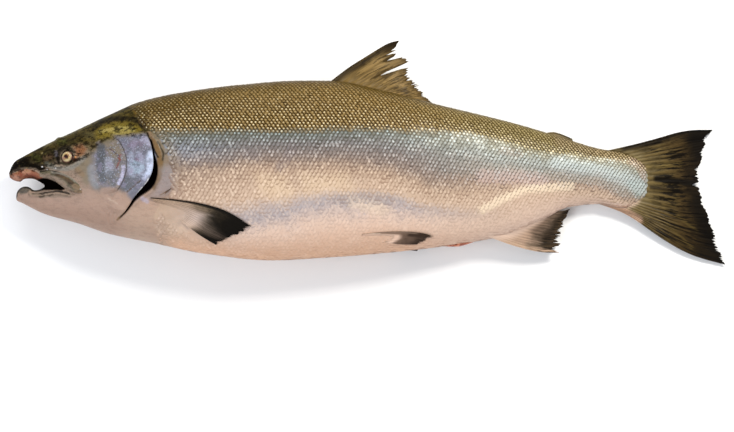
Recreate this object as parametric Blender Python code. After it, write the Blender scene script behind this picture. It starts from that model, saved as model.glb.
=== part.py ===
"""A whole raw salmon that lies on its right side, with its head towards -X and its back towards +Y.

The body is a loft through named stations, and the fins are fans of ribs. Everything that grows together on
the real fish is fused into one solid. Its two eyeballs are separate pieces that sit in their sockets.
"""

import math

import bmesh
import bpy
import numpy as np
from mathutils import Matrix, Vector

MM = 0.001
WELD_DISTANCE = 0.001 * MM

# The body's stations. Each pair is (X from the middle of the fish's length, value), in millimetres.
BACK_LINE = (
    (-331.3, -19), (-328.5, -12), (-325, -7.5), (-319, -4), (-298, 7), (-268, 21), (-238, 35), (-209, 47),
    (-172, 55), (-120, 62), (-61, 66), (-35, 66), (20, 55.5), (65, 44), (131, 28), (176, 15), (212, 4),
    (237, -0.5), (252, -8), (258, -14), (260.5, -27),
)
BELLY_LINE = (
    (-331.3, -19), (-330, -25), (-327, -37), (-324, -44), (-319, -46.5), (-297, -57), (-268, -65),
    (-238, -75), (-194, -84), (-149, -93), (-90, -99), (-31, -96), (28, -91), (109, -80), (136, -73),
    (163, -61), (185, -50), (212, -47), (237, -50.5), (247, -46), (257, -39), (260.5, -27),
)
HALF_THICKNESS = (
    (-331.3, 0), (-329, 4.5), (-325, 7.5), (-312, 11.5), (-284, 18.5), (-256, 25.5), (-220, 32), (-183, 35),
    (-155, 37), (-109, 39), (-63, 39.5), (-17, 38), (29, 34.5), (76, 29), (122, 23), (168, 17), (214, 11.5),
    (242, 8.5), (255, 6), (260.5, 0),
)
# The height of the fish's middle plane above the table: the soft tail sags down onto it.
MIDDLE_HEIGHT = (
    (-331.3, 25), (-284, 28.5), (-247, 32.5), (-200, 37), (-63, 37), (-17, 35.5), (29, 32), (76, 26.5),
    (122, 21), (168, 15.5), (214, 10.5), (260, 6.5), (331.3, 3.2),
)
WIDEST_LEVEL = 0.46  # how far down from the back line the section is widest, as a share of its depth
SECTION_FULLNESS = 0.88  # below 1, the flanks are fuller than an ellipse
SECTION_COUNT = 52
POINTS_AROUND = 36
LEAST_CORE = 0.4  # the least reach of a section that was made leaner
END_CROWDING = 0.2  # how close the sections stand at the snout and the tail, beside the mean

# Each fin is a fan of ribs, from the leading one to the last, and each rib runs from its root to its tip.
CAUDAL_RIBS = (
    ((214.1, 0.7), (239.9, 6.2), (266.7, 13.1), (293.4, 21.2), (319.3, 21.5)),
    ((247.3, -6.7), (269.5, -3), (291.6, 0.2), (311.9, 4.4)),
    ((251, -26.1), (269.5, -25.9), (288.8, -25.4), (307.3, -25.1)),
    ((245.5, -45.4), (269.5, -51.9), (292.5, -57), (311.9, -56.5)),
    ((212.2, -46.8), (239.9, -56.1), (269.5, -78.2), (299, -95.3), (331.3, -103.6)),
)
DORSAL_RIBS = (
    ((-36.9, 63.4), (-19.4, 77.7), (0, 89.7), (18.5, 101.5), (28.6, 103.6)),
    ((-16.6, 57.9), (1.8, 70.8), (20.3, 80.1), (38.8, 85.6)),
    ((6.5, 54.2), (20.3, 61.6), (33.2, 67.6), (45.2, 70.8)),
    ((22.1, 51), (33.2, 53.8), (43.4, 55.6), (52.6, 57)),
    ((34.1, 47.8), (43.4, 47.3), (51.7, 46.8), (60, 45.4)),
)
ANAL_RIBS = (
    ((114.4, -78.7), (131, -84.9), (147.6, -89.7), (163.3, -92.5), (177.2, -92.3)),
    ((129.2, -76.8), (146.7, -81.9), (163.3, -84.7), (179.5, -84.7)),
    ((144.9, -70.4), (158.7, -73.1), (170.7, -75), (180.9, -75)),
    ((160.6, -63), (168.9, -63.9), (176.3, -64.8), (182.7, -64.8)),
    ((173.5, -53.8), (178.1, -53.8), (182.7, -53.3), (187.3, -51.4)),
)
PECTORAL_RIBS = (
    ((-199.3, -41.5), (-177.2, -43), (-152.3, -46.6), (-128.3, -53.6), (-107, -67.9)),
    ((-197.5, -43.5), (-176, -47), (-150, -54.6), (-126.4, -64.4), (-111.7, -73.4)),
    ((-195.8, -45.4), (-176.5, -50.6), (-154, -61.5), (-136.6, -72.2), (-122.7, -78.5)),
    ((-194.2, -47.2), (-178.5, -54), (-159.5, -66.5), (-145.2, -75.8), (-131, -81.8)),
    ((-192.8, -48.9), (-181.5, -56.6), (-166.1, -67.6), (-152.3, -77.6), (-139.3, -85.1)),
)
PELVIC_RIBS = (
    ((-5.5, -75), (15.7, -72.9), (36.9, -72.6), (51.7, -74.2), (60.9, -77.6)),
    ((-4.6, -76.4), (16.6, -76.4), (36.9, -77.2), (49.8, -78.2), (58.6, -80.1)),
    ((-3.7, -78.2), (7.4, -81.9), (22.1, -83.8), (34.1, -84.9), (45.2, -84.7)),
)
ADIPOSE_RIBS = (
    ((159.5, 16.5), (168.5, 20), (178, 17.8), (190.5, 12.2)),
    ((163, 12.5), (171, 13.5), (180, 12.5), (189.5, 9.5)),
)
# What sets each fin apart: ribs in the real fan, rows of faces along a rib, how far the web between two
# ribs falls short of their tips, how far the fin's free edge sags, and its thickness at root and edge.
FIN_RIB_RELIEF = 0.35
WEB_SHORTFALL = 0.06
SAGITTAL_FINS = {
    "caudal_fin": dict(ribs=CAUDAL_RIBS, count=16, rows=6, sag=0.0, root=4.5, edge=1.6),
    "dorsal_fin": dict(ribs=DORSAL_RIBS, count=11, rows=4, sag=9.0, root=4.5, edge=1.4),
    "anal_fin": dict(ribs=ANAL_RIBS, count=10, rows=4, sag=5.0, root=4.0, edge=1.4),
    "adipose_fin": dict(ribs=ADIPOSE_RIBS, count=2, rows=5, sag=-1.0, root=3.6, edge=2.0),
}
# These lie on the flank with half their thickness sunk in it. side is +1 on the upper, left flank.
LYING_FINS = {
    "pectoral_fin_left": dict(ribs=PECTORAL_RIBS, count=9, rows=5, side=1, shift=0.0),
    "pectoral_fin_right": dict(ribs=PECTORAL_RIBS, count=9, rows=5, side=-1, shift=0.0),
    "pelvic_fin_left": dict(ribs=PELVIC_RIBS, count=6, rows=4, side=1, shift=0.0),
    "pelvic_fin_right": dict(ribs=PELVIC_RIBS, count=6, rows=4, side=-1, shift=-6.0),
}
LYING_FIN_THICKNESS = 3.0
LEAST_CLEARANCE = 0.5  # of a fin under the fish above the table

# Outlines on the head, seen from the side, as (X, Y) points.
MOUTH_GAP = (
    (-338, -20), (-331, -22.4), (-327, -25.6), (-321, -27.1), (-319.6, -26.1), (-317.8, -24.5), (-314, -23.8),
    (-308, -24), (-302.7, -26.8), (-297.1, -30.5), (-301, -33.4), (-304.5, -34.7), (-309, -34.6),
    (-311.5, -32.3), (-314.8, -31), (-319, -31.6), (-322.7, -34.4), (-324.3, -38), (-324.5, -41.8),
    (-324, -45), (-329, -50), (-338, -50),
)
MOUTH_POCKET = (
    (-306, -29), (-299, -26.2), (-293.4, -24.9), (-286, -27), (-282.4, -29.8), (-277.8, -34.4),
    (-284, -35.1), (-291.6, -35.6), (-299, -35.2), (-306, -33),
)
UPPER_JAW_PLATE = (
    (-301, -17), (-291.6, -15.5), (-284, -17.8), (-275, -18.7), (-267.6, -23.3), (-262, -32.5),
    (-260, -36.5), (-262, -39.4), (-267.6, -39.4), (-275, -37.1), (-278.7, -33.4), (-282.4, -28.4),
    (-288, -25.6), (-299, -24.2),
)
GILL_COVER_PLATE = (
    (-234, 14), (-218, 20), (-206, 20), (-200, 16), (-196, 6), (-195, -5), (-196, -16), (-203, -29),
    (-212, -39), (-218, -43), (-226, -40), (-231, -36), (-227, -30), (-222, -19), (-221, -8), (-224, 2),
)
GILL_SLIT = (
    (-199.5, 15), (-195.3, 6), (-194.3, -5), (-195.3, -16.5), (-202.5, -30), (-211.5, -40), (-220, -49),
    (-228, -58), (-217, -50.5), (-207, -42.5), (-198.5, -35), (-192.5, -25), (-190.3, -14), (-191, -3),
    (-193.5, 8),
)
PLATE_RELIEF = 1.5
SLIT_DEPTH = 7.0
TONGUE_HALF_THICKNESS = 4.5  # what is left between the mouth's left and right pockets
PRISM_HALF_HEIGHT = 90.0  # above and below the table, past the thickest of the body

# The eyes
EYE_AT = (-277.2, -4.0)
EYE_RADIUS = 6.0
EYE_HALF_DEPTH = 4.6
EYE_BULGE = 0.6  # how far the eyeball stands out of the head's surface
SOCKET_CLEARANCE = 0.4
NOSTRIL_AT = ((-297.5, -3.2), (-294.2, -2.2))
NOSTRIL_RADIUS = 1.0
NOSTRIL_DEPTH = 2.5

# The vent's soft fold on the belly, just ahead of the anal fin
VENT_AT = (86.0, -82.8)
VENT_SIZE = (17.0, 2.6, 3.2)
VENT_SLOPE = math.radians(8.0)

# Colours of the raw fish, as linear red, green and blue
BACK_COLOUR = (0.22, 0.17, 0.08)
FLANK_COLOUR = (0.45, 0.40, 0.36)
BELLY_COLOUR = (0.66, 0.49, 0.38)
FIN_COLOUR = (0.07, 0.055, 0.03)
MOUTH_COLOUR = (0.03, 0.015, 0.012)
EYE_COLOUR = (0.45, 0.34, 0.20)
BACK_BAND, BELLY_BAND = 0.30, 0.66  # where the colours change, as shares of the depth below the back line


def through(stations, at):
    """The value of a smooth curve through (place, value) stations. It doesn't swing past them."""
    place, value = np.array(stations, float).T
    secant = np.diff(value) / np.diff(place)
    slope = np.empty_like(value)
    slope[0], slope[-1] = secant[0], secant[-1]
    product = secant[:-1] * secant[1:]
    total = secant[:-1] + secant[1:]
    slope[1:-1] = np.where(product > 0, 2 * product / np.where(product > 0, total, 1), 0)
    i = min(max(int(np.searchsorted(place, at)) - 1, 0), len(place) - 2)
    step = place[i + 1] - place[i]
    t = min(max((at - place[i]) / step, 0.0), 1.0)
    return float(
        (1 + 2 * t) * (1 - t) ** 2 * value[i]
        + t * (1 - t) ** 2 * step * slope[i]
        + t * t * (3 - 2 * t) * value[i + 1]
        + t * t * (t - 1) * step * slope[i + 1]
    )


def along(points, t):
    """The (X, Y) point a share t of the way along a smooth line through points."""
    last = len(points) - 1
    return tuple(through([(i / last, p[axis]) for i, p in enumerate(points)], t) for axis in (0, 1))


def section(x):
    """A body section's (widest level, height above it, depth below it, half thickness, middle height)."""
    back, belly = through(BACK_LINE, x), through(BELLY_LINE, x)
    level = back - WIDEST_LEVEL * (back - belly)
    return level, back - level, level - belly, through(HALF_THICKNESS, x), through(MIDDLE_HEIGHT, x)


def body_point(x, angle, extra=0.0):
    """A point of the body's skin. The angle is 0 at the left flank, a quarter turn at the back."""
    level, up, down, half, middle = section(x)
    rise, reach = math.sin(angle), math.cos(angle)
    y = level + rise * max((up if rise > 0 else down) + extra, LEAST_CORE)
    z = middle + math.copysign(abs(reach) ** SECTION_FULLNESS, reach) * max(half + extra, LEAST_CORE)
    return Vector((x, y, max(z, 0.0))) * MM


def flank_height(x, y, side):
    """Height of the skin over the point (x, y), on the upper flank for side 1 and the lower one for -1."""
    level, up, down, half, middle = section(x)
    share = (y - level) / max(up if y > level else down, 1e-6)
    return middle + side * half * max(1 - share * share, 0.0) ** (SECTION_FULLNESS / 2)


def flank_normal(x, y, side, step=1.0):
    """The skin's outward direction at (x, y)."""
    along_x = flank_height(x + step, y, side) - flank_height(x - step, y, side)
    along_y = flank_height(x, y + step, side) - flank_height(x, y - step, side)
    return Vector((-along_x, -along_y, 2 * step)).normalized() * side


def material(name, colour, roughness):
    made = bpy.data.materials.new(name)
    made.use_nodes = True
    shader = made.node_tree.nodes["Principled BSDF"]
    shader.inputs["Base Color"].default_value = (*colour, 1)
    shader.inputs["Roughness"].default_value = roughness
    shader.inputs["Metallic"].default_value = 0
    return made


def from_bmesh(bm, name, collection, materials):
    mesh = bpy.data.meshes.new(name)
    bmesh.ops.recalc_face_normals(bm, faces=bm.faces)
    bm.to_mesh(mesh)
    bm.free()
    for entry in materials:
        mesh.materials.append(entry)
    made = bpy.data.objects.new(name, mesh)
    collection.objects.link(made)
    return made


def loft(name, collection, materials, extra=0.0):
    """The body as a sphere whose rings are moved onto the sections. extra makes it fuller or leaner."""
    bm = bmesh.new()
    bmesh.ops.create_uvsphere(bm, u_segments=POINTS_AROUND, v_segments=SECTION_COUNT, radius=1)
    first, last = BACK_LINE[0][0], BACK_LINE[-1][0]
    for vert in bm.verts:
        t = math.acos(min(max(vert.co.z, -1.0), 1.0)) / math.pi
        share = END_CROWDING * t + (1 - END_CROWDING) * t * t * (3 - 2 * t)
        x = first + (last - first) * share
        if 0 < t < 1:
            vert.co = body_point(x, math.atan2(vert.co.y, vert.co.x), extra)
        else:
            level, middle = through(BACK_LINE, x), through(MIDDLE_HEIGHT, x)
            vert.co = Vector((x, level, middle)) * MM
    made = from_bmesh(bm, name, collection, materials)
    if len(materials) > 1:
        paint_bands(made.data)
    return made


def paint_bands(mesh):
    """Gives each face of the body the back's, the flank's or the belly's material."""
    for face in mesh.polygons:
        x, y = face.center.x / MM, face.center.y / MM
        back, belly = through(BACK_LINE, x), through(BELLY_LINE, x)
        share = (back - y) / (back - belly)
        face.material_index = int(share > BACK_BAND) + int(share > BELLY_BAND)


def fan(name, collection, entry, ribs, count, rows, middle, half_thickness):
    """A fin: a grid whose columns run along the ribs and the web between them, given its two faces.

    middle gives the height of the fin's middle from X, Y and the share of the way to the free edge, and
    half_thickness the thickness on each side of it from that share.
    """
    columns = 2 * count
    bm = bmesh.new()
    bmesh.ops.create_grid(bm, x_segments=columns, y_segments=rows, size=0.5)
    lower = list(bm.verts)
    raised = bmesh.ops.extrude_face_region(bm, geom=list(bm.faces))["geom"]
    upper = [entry for entry in raised if isinstance(entry, bmesh.types.BMVert)]
    for side, verts in ((-1, lower), (1, upper)):
        for vert in verts:
            across, out = vert.co.x + 0.5, vert.co.y + 0.5
            on_web = round(across * columns) % 2
            reach = out * (1 - WEB_SHORTFALL * on_web * out)
            x, y = along([along(rib, reach) for rib in ribs], across)
            half = half_thickness(reach) + FIN_RIB_RELIEF * (0.5 - on_web) * out
            vert.co = Vector((x, y, middle(x, y, reach) + side * half)) * MM
    return from_bmesh(bm, name, collection, [entry])


def bake(made):
    """Replaces an object's mesh by what its modifiers make of it, and drops the modifiers."""
    graph = bpy.context.evaluated_depsgraph_get()
    mesh = bpy.data.meshes.new_from_object(made.evaluated_get(graph))
    made.modifiers.clear()
    made.data = mesh


def boolean(made, operation, other):
    """Applies a Boolean of made with an object or with all of a collection's objects."""
    cut = made.modifiers.new(operation.title(), "BOOLEAN")
    cut.operation = operation
    cut.solver = "MANIFOLD"  # the exact solver leaves open edges where fins meet the skin at a slant
    cut.material_mode = "TRANSFER"
    if isinstance(other, bpy.types.Collection):
        cut.operand_type = "COLLECTION"
        cut.collection = other
    else:
        cut.object = other
    bake(made)


def prism(name, collection, outline, entry):
    """A closed (X, Y) outline made a tall block along Z, as wide as any cut needs."""
    curve = bpy.data.curves.new(name, "CURVE")
    curve.dimensions = "2D"
    curve.fill_mode = "BOTH"
    curve.extrude = PRISM_HALF_HEIGHT * MM
    curve.resolution_u = 2
    line = curve.splines.new("BEZIER")
    line.bezier_points.add(len(outline) - 1)
    line.use_cyclic_u = True
    for point, (x, y) in zip(line.bezier_points, outline):
        point.co = Vector((x, y, 0)) * MM
        point.handle_left_type = point.handle_right_type = "AUTO"
    guide = bpy.data.objects.new(name, curve)
    collection.objects.link(guide)
    bpy.context.view_layer.update()
    graph = bpy.context.evaluated_depsgraph_get()
    bm = bmesh.new()
    bm.from_mesh(bpy.data.meshes.new_from_object(guide.evaluated_get(graph)))
    bpy.data.objects.remove(guide)
    bmesh.ops.remove_doubles(bm, verts=bm.verts, dist=WELD_DISTANCE)
    return from_bmesh(bm, name, collection, [entry])


def skin_cutter(name, outline, depth, fish_materials, entry, cutters, scratch):
    """A cutter that goes a given depth below the skin inside an outline, on both flanks at once."""
    block = prism(name, cutters, outline, entry)
    core = loft(name + "_core", scratch, [fish_materials[0]], -depth)
    boolean(block, "DIFFERENCE", core)
    return block


def raised_plate(name, outline, entry, parts, scratch):
    """A bony plate of the head: the body a little fuller, kept only inside the plate's outline."""
    plate = loft(name, parts, [entry], PLATE_RELIEF)
    block = prism(name + "_outline", scratch, outline, entry)
    boolean(plate, "INTERSECT", block)
    return plate


def ellipsoid(name, collection, entry, centre, radii, turn, segments, rings):
    """A ball stretched to three radii in millimetres, turned and put at a centre in millimetres."""
    bm = bmesh.new()
    bmesh.ops.create_uvsphere(bm, u_segments=segments, v_segments=rings, radius=1)
    stretch = Matrix.Diagonal((*(r * MM for r in radii), 1))
    place = Matrix.Translation(Vector(centre) * MM)
    bmesh.ops.transform(bm, matrix=place @ turn.to_4x4() @ stretch, verts=bm.verts)
    return from_bmesh(bm, name, collection, [entry])


def eye_frame(side):
    """An eyeball's centre and turn: it looks straight out of the skin."""
    outward = flank_normal(*EYE_AT, side)
    surface = Vector((*EYE_AT, flank_height(*EYE_AT, side)))
    return surface + outward * (EYE_BULGE - EYE_HALF_DEPTH), outward.to_track_quat("Z", "Y").to_matrix()


def make_eye(name, collection, entry, side, clearance=0.0):
    centre, turn = eye_frame(side)
    radii = (EYE_RADIUS + clearance, EYE_RADIUS + clearance, EYE_HALF_DEPTH + clearance)
    return ellipsoid(name, collection, entry, centre, radii, turn, 20, 10)


def make_sagittal_fin(name, collection, entry, ribs, count, rows, sag, root, edge):
    """A fin in the fish's middle plane, whose free edge sags towards the table."""

    def half_thickness(out):
        return (root + (edge - root) * out) / 2

    def middle(x, y, out):
        return max(through(MIDDLE_HEIGHT, x) - sag * out * out, half_thickness(out) + LEAST_CLEARANCE)

    fan(name, collection, entry, ribs, count, rows, middle, half_thickness)


def make_lying_fin(name, collection, entry, ribs, count, rows, side, shift):
    """A fin that lies back on the flank, half sunk in it, so that it fuses all over."""
    lowest = LEAST_CLEARANCE + LYING_FIN_THICKNESS / 2

    def middle(x, y, out):
        return max(flank_height(x, y, side), lowest)

    moved = tuple(tuple((x, y + shift * i / (len(rib) - 1)) for i, (x, y) in enumerate(rib)) for rib in ribs)
    fan(name, collection, entry, moved, count, rows, middle, lambda out: LYING_FIN_THICKNESS / 2)


def make_mouth(cutters, scratch, entry):
    """The gap between the jaws, open right through, and the dark pocket behind it on each side."""
    prism("mouth_gap", cutters, MOUTH_GAP, entry)
    pocket = prism("mouth_pocket", cutters, MOUTH_POCKET, entry)
    centre = (EYE_AT[0], MOUTH_POCKET[0][1], through(MIDDLE_HEIGHT, MOUTH_POCKET[1][0]))
    turn = Matrix.Identity(3)
    tongue = ellipsoid("tongue", scratch, entry, centre, (60, 40, TONGUE_HALF_THICKNESS), turn, 24, 12)
    boolean(pocket, "DIFFERENCE", tongue)


def make_nostrils(cutters, entry):
    for side in (1, -1):
        for number, (x, y) in enumerate(NOSTRIL_AT):
            outward = flank_normal(x, y, side)
            turn = outward.to_track_quat("Z", "Y").to_matrix()
            centre = (x, y, flank_height(x, y, side))
            radii = (NOSTRIL_RADIUS, NOSTRIL_RADIUS * 1.4, NOSTRIL_DEPTH)
            ellipsoid(f"nostril_{side}_{number}", cutters, entry, centre, radii, turn, 8, 6)


def make_vent(parts, entry):
    centre = (*VENT_AT, through(MIDDLE_HEIGHT, VENT_AT[0]))
    turn = Matrix.Rotation(VENT_SLOPE, 3, "Z")
    ellipsoid("vent", parts, entry, centre, VENT_SIZE, turn, 16, 8)


def keep_largest(made):
    """Drops the loose scraps that fusing can leave."""
    bm = bmesh.new()
    bm.from_mesh(made.data)
    bmesh.ops.remove_doubles(bm, verts=bm.verts, dist=WELD_DISTANCE)
    left, islands = set(bm.verts), []
    while left:
        island, border = set(), [left.pop()]
        while border:
            vert = border.pop()
            island.add(vert)
            for edge in vert.link_edges:
                other = edge.other_vert(vert)
                if other in left:
                    left.remove(other)
                    border.append(other)
        islands.append(island)
    largest = max(islands, key=len)
    scraps = [vert for island in islands if island is not largest for vert in island]
    bmesh.ops.delete(bm, geom=scraps, context="VERTS")
    bmesh.ops.dissolve_degenerate(bm, dist=2 * WELD_DISTANCE, edges=bm.edges)
    bmesh.ops.triangulate(bm, faces=bm.faces)
    bm.to_mesh(made.data)
    bm.free()


def new_collection(name):
    made = bpy.data.collections.new(name)
    bpy.context.scene.collection.children.link(made)
    return made


def remove_collection(collection):
    for entry in list(collection.objects):
        bpy.data.objects.remove(entry)
    bpy.data.collections.remove(collection)


def build():
    for entry in list(bpy.data.objects):
        bpy.data.objects.remove(entry)
    fish = new_collection("raw_salmon")
    parts, cutters, scratch = map(new_collection, ("fused_parts", "cutters", "scratch"))
    back = material("back_skin", BACK_COLOUR, 0.4)
    flank = material("silver_flank", FLANK_COLOUR, 0.3)
    belly = material("pale_belly", BELLY_COLOUR, 0.4)
    web = material("fin_web", FIN_COLOUR, 0.5)
    mouth = material("mouth_and_gills", MOUTH_COLOUR, 0.4)
    eye = material("eye_iris", EYE_COLOUR, 0.15)
    skins = [back, flank, belly]

    salmon = loft("salmon", fish, skins)
    raised_plate("upper_jaw", UPPER_JAW_PLATE, flank, parts, scratch)
    raised_plate("gill_cover", GILL_COVER_PLATE, flank, parts, scratch)
    for name, sizes in SAGITTAL_FINS.items():
        make_sagittal_fin(name, parts, web, **sizes)
    for name, sizes in LYING_FINS.items():
        make_lying_fin(name, parts, web, **sizes)
    make_vent(parts, belly)
    boolean(salmon, "UNION", parts)

    make_mouth(cutters, scratch, mouth)
    skin_cutter("gill_slit", GILL_SLIT, SLIT_DEPTH, skins, mouth, cutters, scratch)
    make_nostrils(cutters, mouth)
    for side, name in ((1, "left"), (-1, "right")):
        make_eye(f"{name}_socket", cutters, mouth, side, SOCKET_CLEARANCE)
        make_eye(f"{name}_eye", fish, eye, side).data.shade_smooth()
    boolean(salmon, "DIFFERENCE", cutters)
    keep_largest(salmon)
    for collection in (parts, cutters, scratch):
        remove_collection(collection)


build()
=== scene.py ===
# %% [markdown]
# # A whole raw salmon on a white table
#
# The fish lies on its right flank and is seen from straight above. Its solid body is already made, so this
# script dresses it: skin, more than twelve thousand scales, gill covers, jaws, eyes and fins with real rays.
# Every length below is in millimetres, because a fish is easier to think about in them than in metres.

# %% Load the solid model
import math

import bmesh
import bpy
import numpy as np
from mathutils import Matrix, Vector


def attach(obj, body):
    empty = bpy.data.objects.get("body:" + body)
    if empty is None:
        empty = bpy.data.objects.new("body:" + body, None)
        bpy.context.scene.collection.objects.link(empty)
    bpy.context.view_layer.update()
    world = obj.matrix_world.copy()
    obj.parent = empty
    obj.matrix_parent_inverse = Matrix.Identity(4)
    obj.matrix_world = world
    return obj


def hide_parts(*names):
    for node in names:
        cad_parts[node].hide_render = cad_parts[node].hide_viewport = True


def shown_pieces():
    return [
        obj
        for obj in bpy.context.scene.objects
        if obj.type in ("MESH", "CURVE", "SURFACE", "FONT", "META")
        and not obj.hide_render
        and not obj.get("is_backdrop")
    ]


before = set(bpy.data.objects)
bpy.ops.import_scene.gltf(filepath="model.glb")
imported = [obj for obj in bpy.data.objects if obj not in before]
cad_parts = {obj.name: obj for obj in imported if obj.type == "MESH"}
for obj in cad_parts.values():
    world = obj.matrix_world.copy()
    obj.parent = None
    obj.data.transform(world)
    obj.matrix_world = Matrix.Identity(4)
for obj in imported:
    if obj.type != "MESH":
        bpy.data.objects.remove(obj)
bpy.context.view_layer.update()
MM = 0.001

# %% [markdown]
# ## Lines that describe the fish
#
# A fish's flank is read from a few lines that run from head to tail: its back, its belly, how thick it is,
# and how high its middle lies above the table. Each is a short list of (X, value) stations. A monotone cubic
# joins them, because an ordinary smooth spline would swing past the stations and put waves in the belly.

# %% The stations and the curve through them
BACK_LINE = (
    (-331.3, -19), (-328.5, -12), (-325, -7.5), (-319, -4), (-298, 7), (-268, 21), (-238, 35), (-209, 47),
    (-172, 55), (-120, 62), (-61, 66), (-35, 66), (20, 55.5), (65, 44), (131, 28), (176, 15), (212, 4),
    (237, -0.5), (252, -8), (258, -14), (260.5, -27),
)
BELLY_LINE = (
    (-331.3, -19), (-330, -25), (-327, -37), (-324, -44), (-319, -46.5), (-297, -57), (-268, -65),
    (-238, -75), (-194, -84), (-149, -93), (-90, -99), (-31, -96), (28, -91), (109, -80), (136, -73),
    (163, -61), (185, -50), (212, -47), (237, -50.5), (247, -46), (257, -39), (260.5, -27),
)
HALF_THICKNESS = (
    (-331.3, 0), (-329, 4.5), (-325, 7.5), (-312, 11.5), (-284, 18.5), (-256, 25.5), (-220, 32), (-183, 35),
    (-155, 37), (-109, 39), (-63, 39.5), (-17, 38), (29, 34.5), (76, 29), (122, 23), (168, 17), (214, 11.5),
    (242, 8.5), (255, 6), (260.5, 0),
)
MIDDLE_HEIGHT = (
    (-331.3, 25), (-284, 28.5), (-247, 32.5), (-200, 37), (-63, 37), (-17, 35.5), (29, 32), (76, 26.5),
    (122, 21), (168, 15.5), (214, 10.5), (260, 6.5), (331.3, 3.2),
)
TAIL_TAPER = ((-340, 1), (215, 1), (235, 0.9), (250, 0.62), (258, 0.42), (261, 0.3))
SNOUT, BODY_END = BACK_LINE[0][0], BACK_LINE[-1][0]
WIDEST_LEVEL = 0.46
SECTION_FULLNESS = 0.88
TABLE_GAP = 0.7  # the skin's flat underside stays this far above the table, for the scales under it


def through(stations, at):
    """Values of a smooth curve through (place, value) stations, which doesn't swing past them."""
    place, value = np.array(stations, float).T
    at = np.asarray(at, float)
    secant = np.diff(value) / np.diff(place)
    slope = np.empty_like(value)
    slope[0], slope[-1] = secant[0], secant[-1]
    product = secant[:-1] * secant[1:]
    total = secant[:-1] + secant[1:]
    slope[1:-1] = np.where(product > 0, 2 * product / np.where(product > 0, total, 1), 0)
    i = np.clip(np.searchsorted(place, at) - 1, 0, len(place) - 2)
    step = place[i + 1] - place[i]
    t = np.clip((at - place[i]) / step, 0, 1)
    return (
        (1 + 2 * t) * (1 - t) ** 2 * value[i]
        + t * (1 - t) ** 2 * step * slope[i]
        + t * t * (3 - 2 * t) * value[i + 1]
        + t * t * (t - 1) * step * slope[i + 1]
    )


def section(x):
    """The widest level of the body's section at x, its height above it, depth below it, and half width."""
    back, belly = through(BACK_LINE, x), through(BELLY_LINE, x)
    level = back - WIDEST_LEVEL * (back - belly)
    return level, back - level, level - belly, through(HALF_THICKNESS, x) * through(TAIL_TAPER, x)


def flank_height(x, y, side):
    """Height of the skin at (x, y), on the upper, left flank for side 1 and on the lower one for -1."""
    level, up, down, half = section(x)
    share = (y - level) / np.maximum(np.where(y > level, up, down), 1e-6)
    arch = np.clip(1 - share * share, 0, 1) ** (SECTION_FULLNESS / 2)
    return np.maximum(through(MIDDLE_HEIGHT, x) + side * half * arch, TABLE_GAP)


def along(x):
    """How far along the body a place is, from 0 at the snout to 1 at the tail fin."""
    return (x - SNOUT) / (BODY_END - SNOUT)


print("the body is", BODY_END - SNOUT, "mm long without its tail fin")

# %% [markdown]
# The colours of a salmon also follow lines: where the olive back ends, where the silver flank turns mauve
# and then tan, and where a lilac sheen runs along the belly. Each line gets a number, from 0 at the back to
# 1 at the belly, and a point between two lines gets a number between theirs. All of the body's colour ramps
# read that one number, which is stored on the mesh as the attribute "band".

# %% The band number of any point on the flank
OLIVE_EDGE = (
    (-240, 20), (-210, 19), (-155, 20), (-89, 18), (-23, 20), (26, 20), (85, 18), (133, 7), (165, 0),
    (196, -3), (242, -8), (258, -18),
)
SILVER_EDGE = (
    (-240, -2), (-155, -1), (-89, 5), (-23, 5), (26, 0), (66, -16), (103, -21), (150, -23), (180, -26),
    (214, -31), (240, -42), (258, -38),
)
MAUVE_EDGE = (
    (-240, -16), (-155, -16), (-89, -11), (-23, -13), (26, -20), (66, -34), (103, -35), (150, -33),
    (180, -34), (214, -37), (240, -46), (258, -38.6),
)
LILAC_LINE = (
    (-240, -62), (-120, -62), (-73, -56), (-40, -48.5), (-15, -45), (18, -46), (59, -56), (103, -58),
    (150, -48), (180, -41), (214, -42.5), (240, -48), (258, -38.8),
)
BAND_LINES = (
    (BACK_LINE, 0.0), (OLIVE_EDGE, 0.3), (SILVER_EDGE, 0.45), (MAUVE_EDGE, 0.6), (LILAC_LINE, 0.8),
    (BELLY_LINE, 1.0),
)
LEAST_BAND = 0.4  # how narrow a band may get towards the tail


def band(x, y):
    """0 on the back line, 1 on the belly line, and the colour lines' own numbers between them."""
    heights = [through(line, x) for line, number in BAND_LINES]
    for i in range(1, len(heights)):
        heights[i] = np.minimum(heights[i], heights[i - 1] - LEAST_BAND)
    result = np.zeros(np.shape(x))
    for i in range(len(heights) - 1):
        (upper, first), (lower, last) = (heights[i], BAND_LINES[i][1]), (heights[i + 1], BAND_LINES[i + 1][1])
        share = np.clip((upper - y) / (upper - lower), 0, 1)
        result = np.where(y <= upper, first + (last - first) * share, result)
    return result


print("band at mid flank:", round(float(band(np.array(-60.0), np.array(0.0))), 2))

# %% [markdown]
# ## The camera, the table and the light
#
# The picture was taken from straight above with a long lens, so the fish shows hardly any perspective. A
# long lens six metres up gives that. The light is a large soft box above and to the right of the tail, and
# a bright room fills the shadows: only a soft grey edge is left below the head and the belly.

# %% Camera, floor and lights
FRAME_WIDTH = 677.3
FRAME_CENTRE = (-0.9, -58.4)
FOCUS_LEVEL = 25.0
CAMERA_DISTANCE = 6000.0
SENSOR_WIDTH = 36.0

scene = bpy.context.scene
camera = bpy.data.objects.new("camera", bpy.data.cameras.new("camera"))
scene.collection.objects.link(camera)
camera.data.sensor_width = SENSOR_WIDTH
camera.data.lens = SENSOR_WIDTH * CAMERA_DISTANCE / FRAME_WIDTH
camera.data.clip_end = 20
camera.location = Vector((*FRAME_CENTRE, FOCUS_LEVEL + CAMERA_DISTANCE)) * MM
scene.camera = camera
scene.view_settings.view_transform = "Standard"


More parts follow.
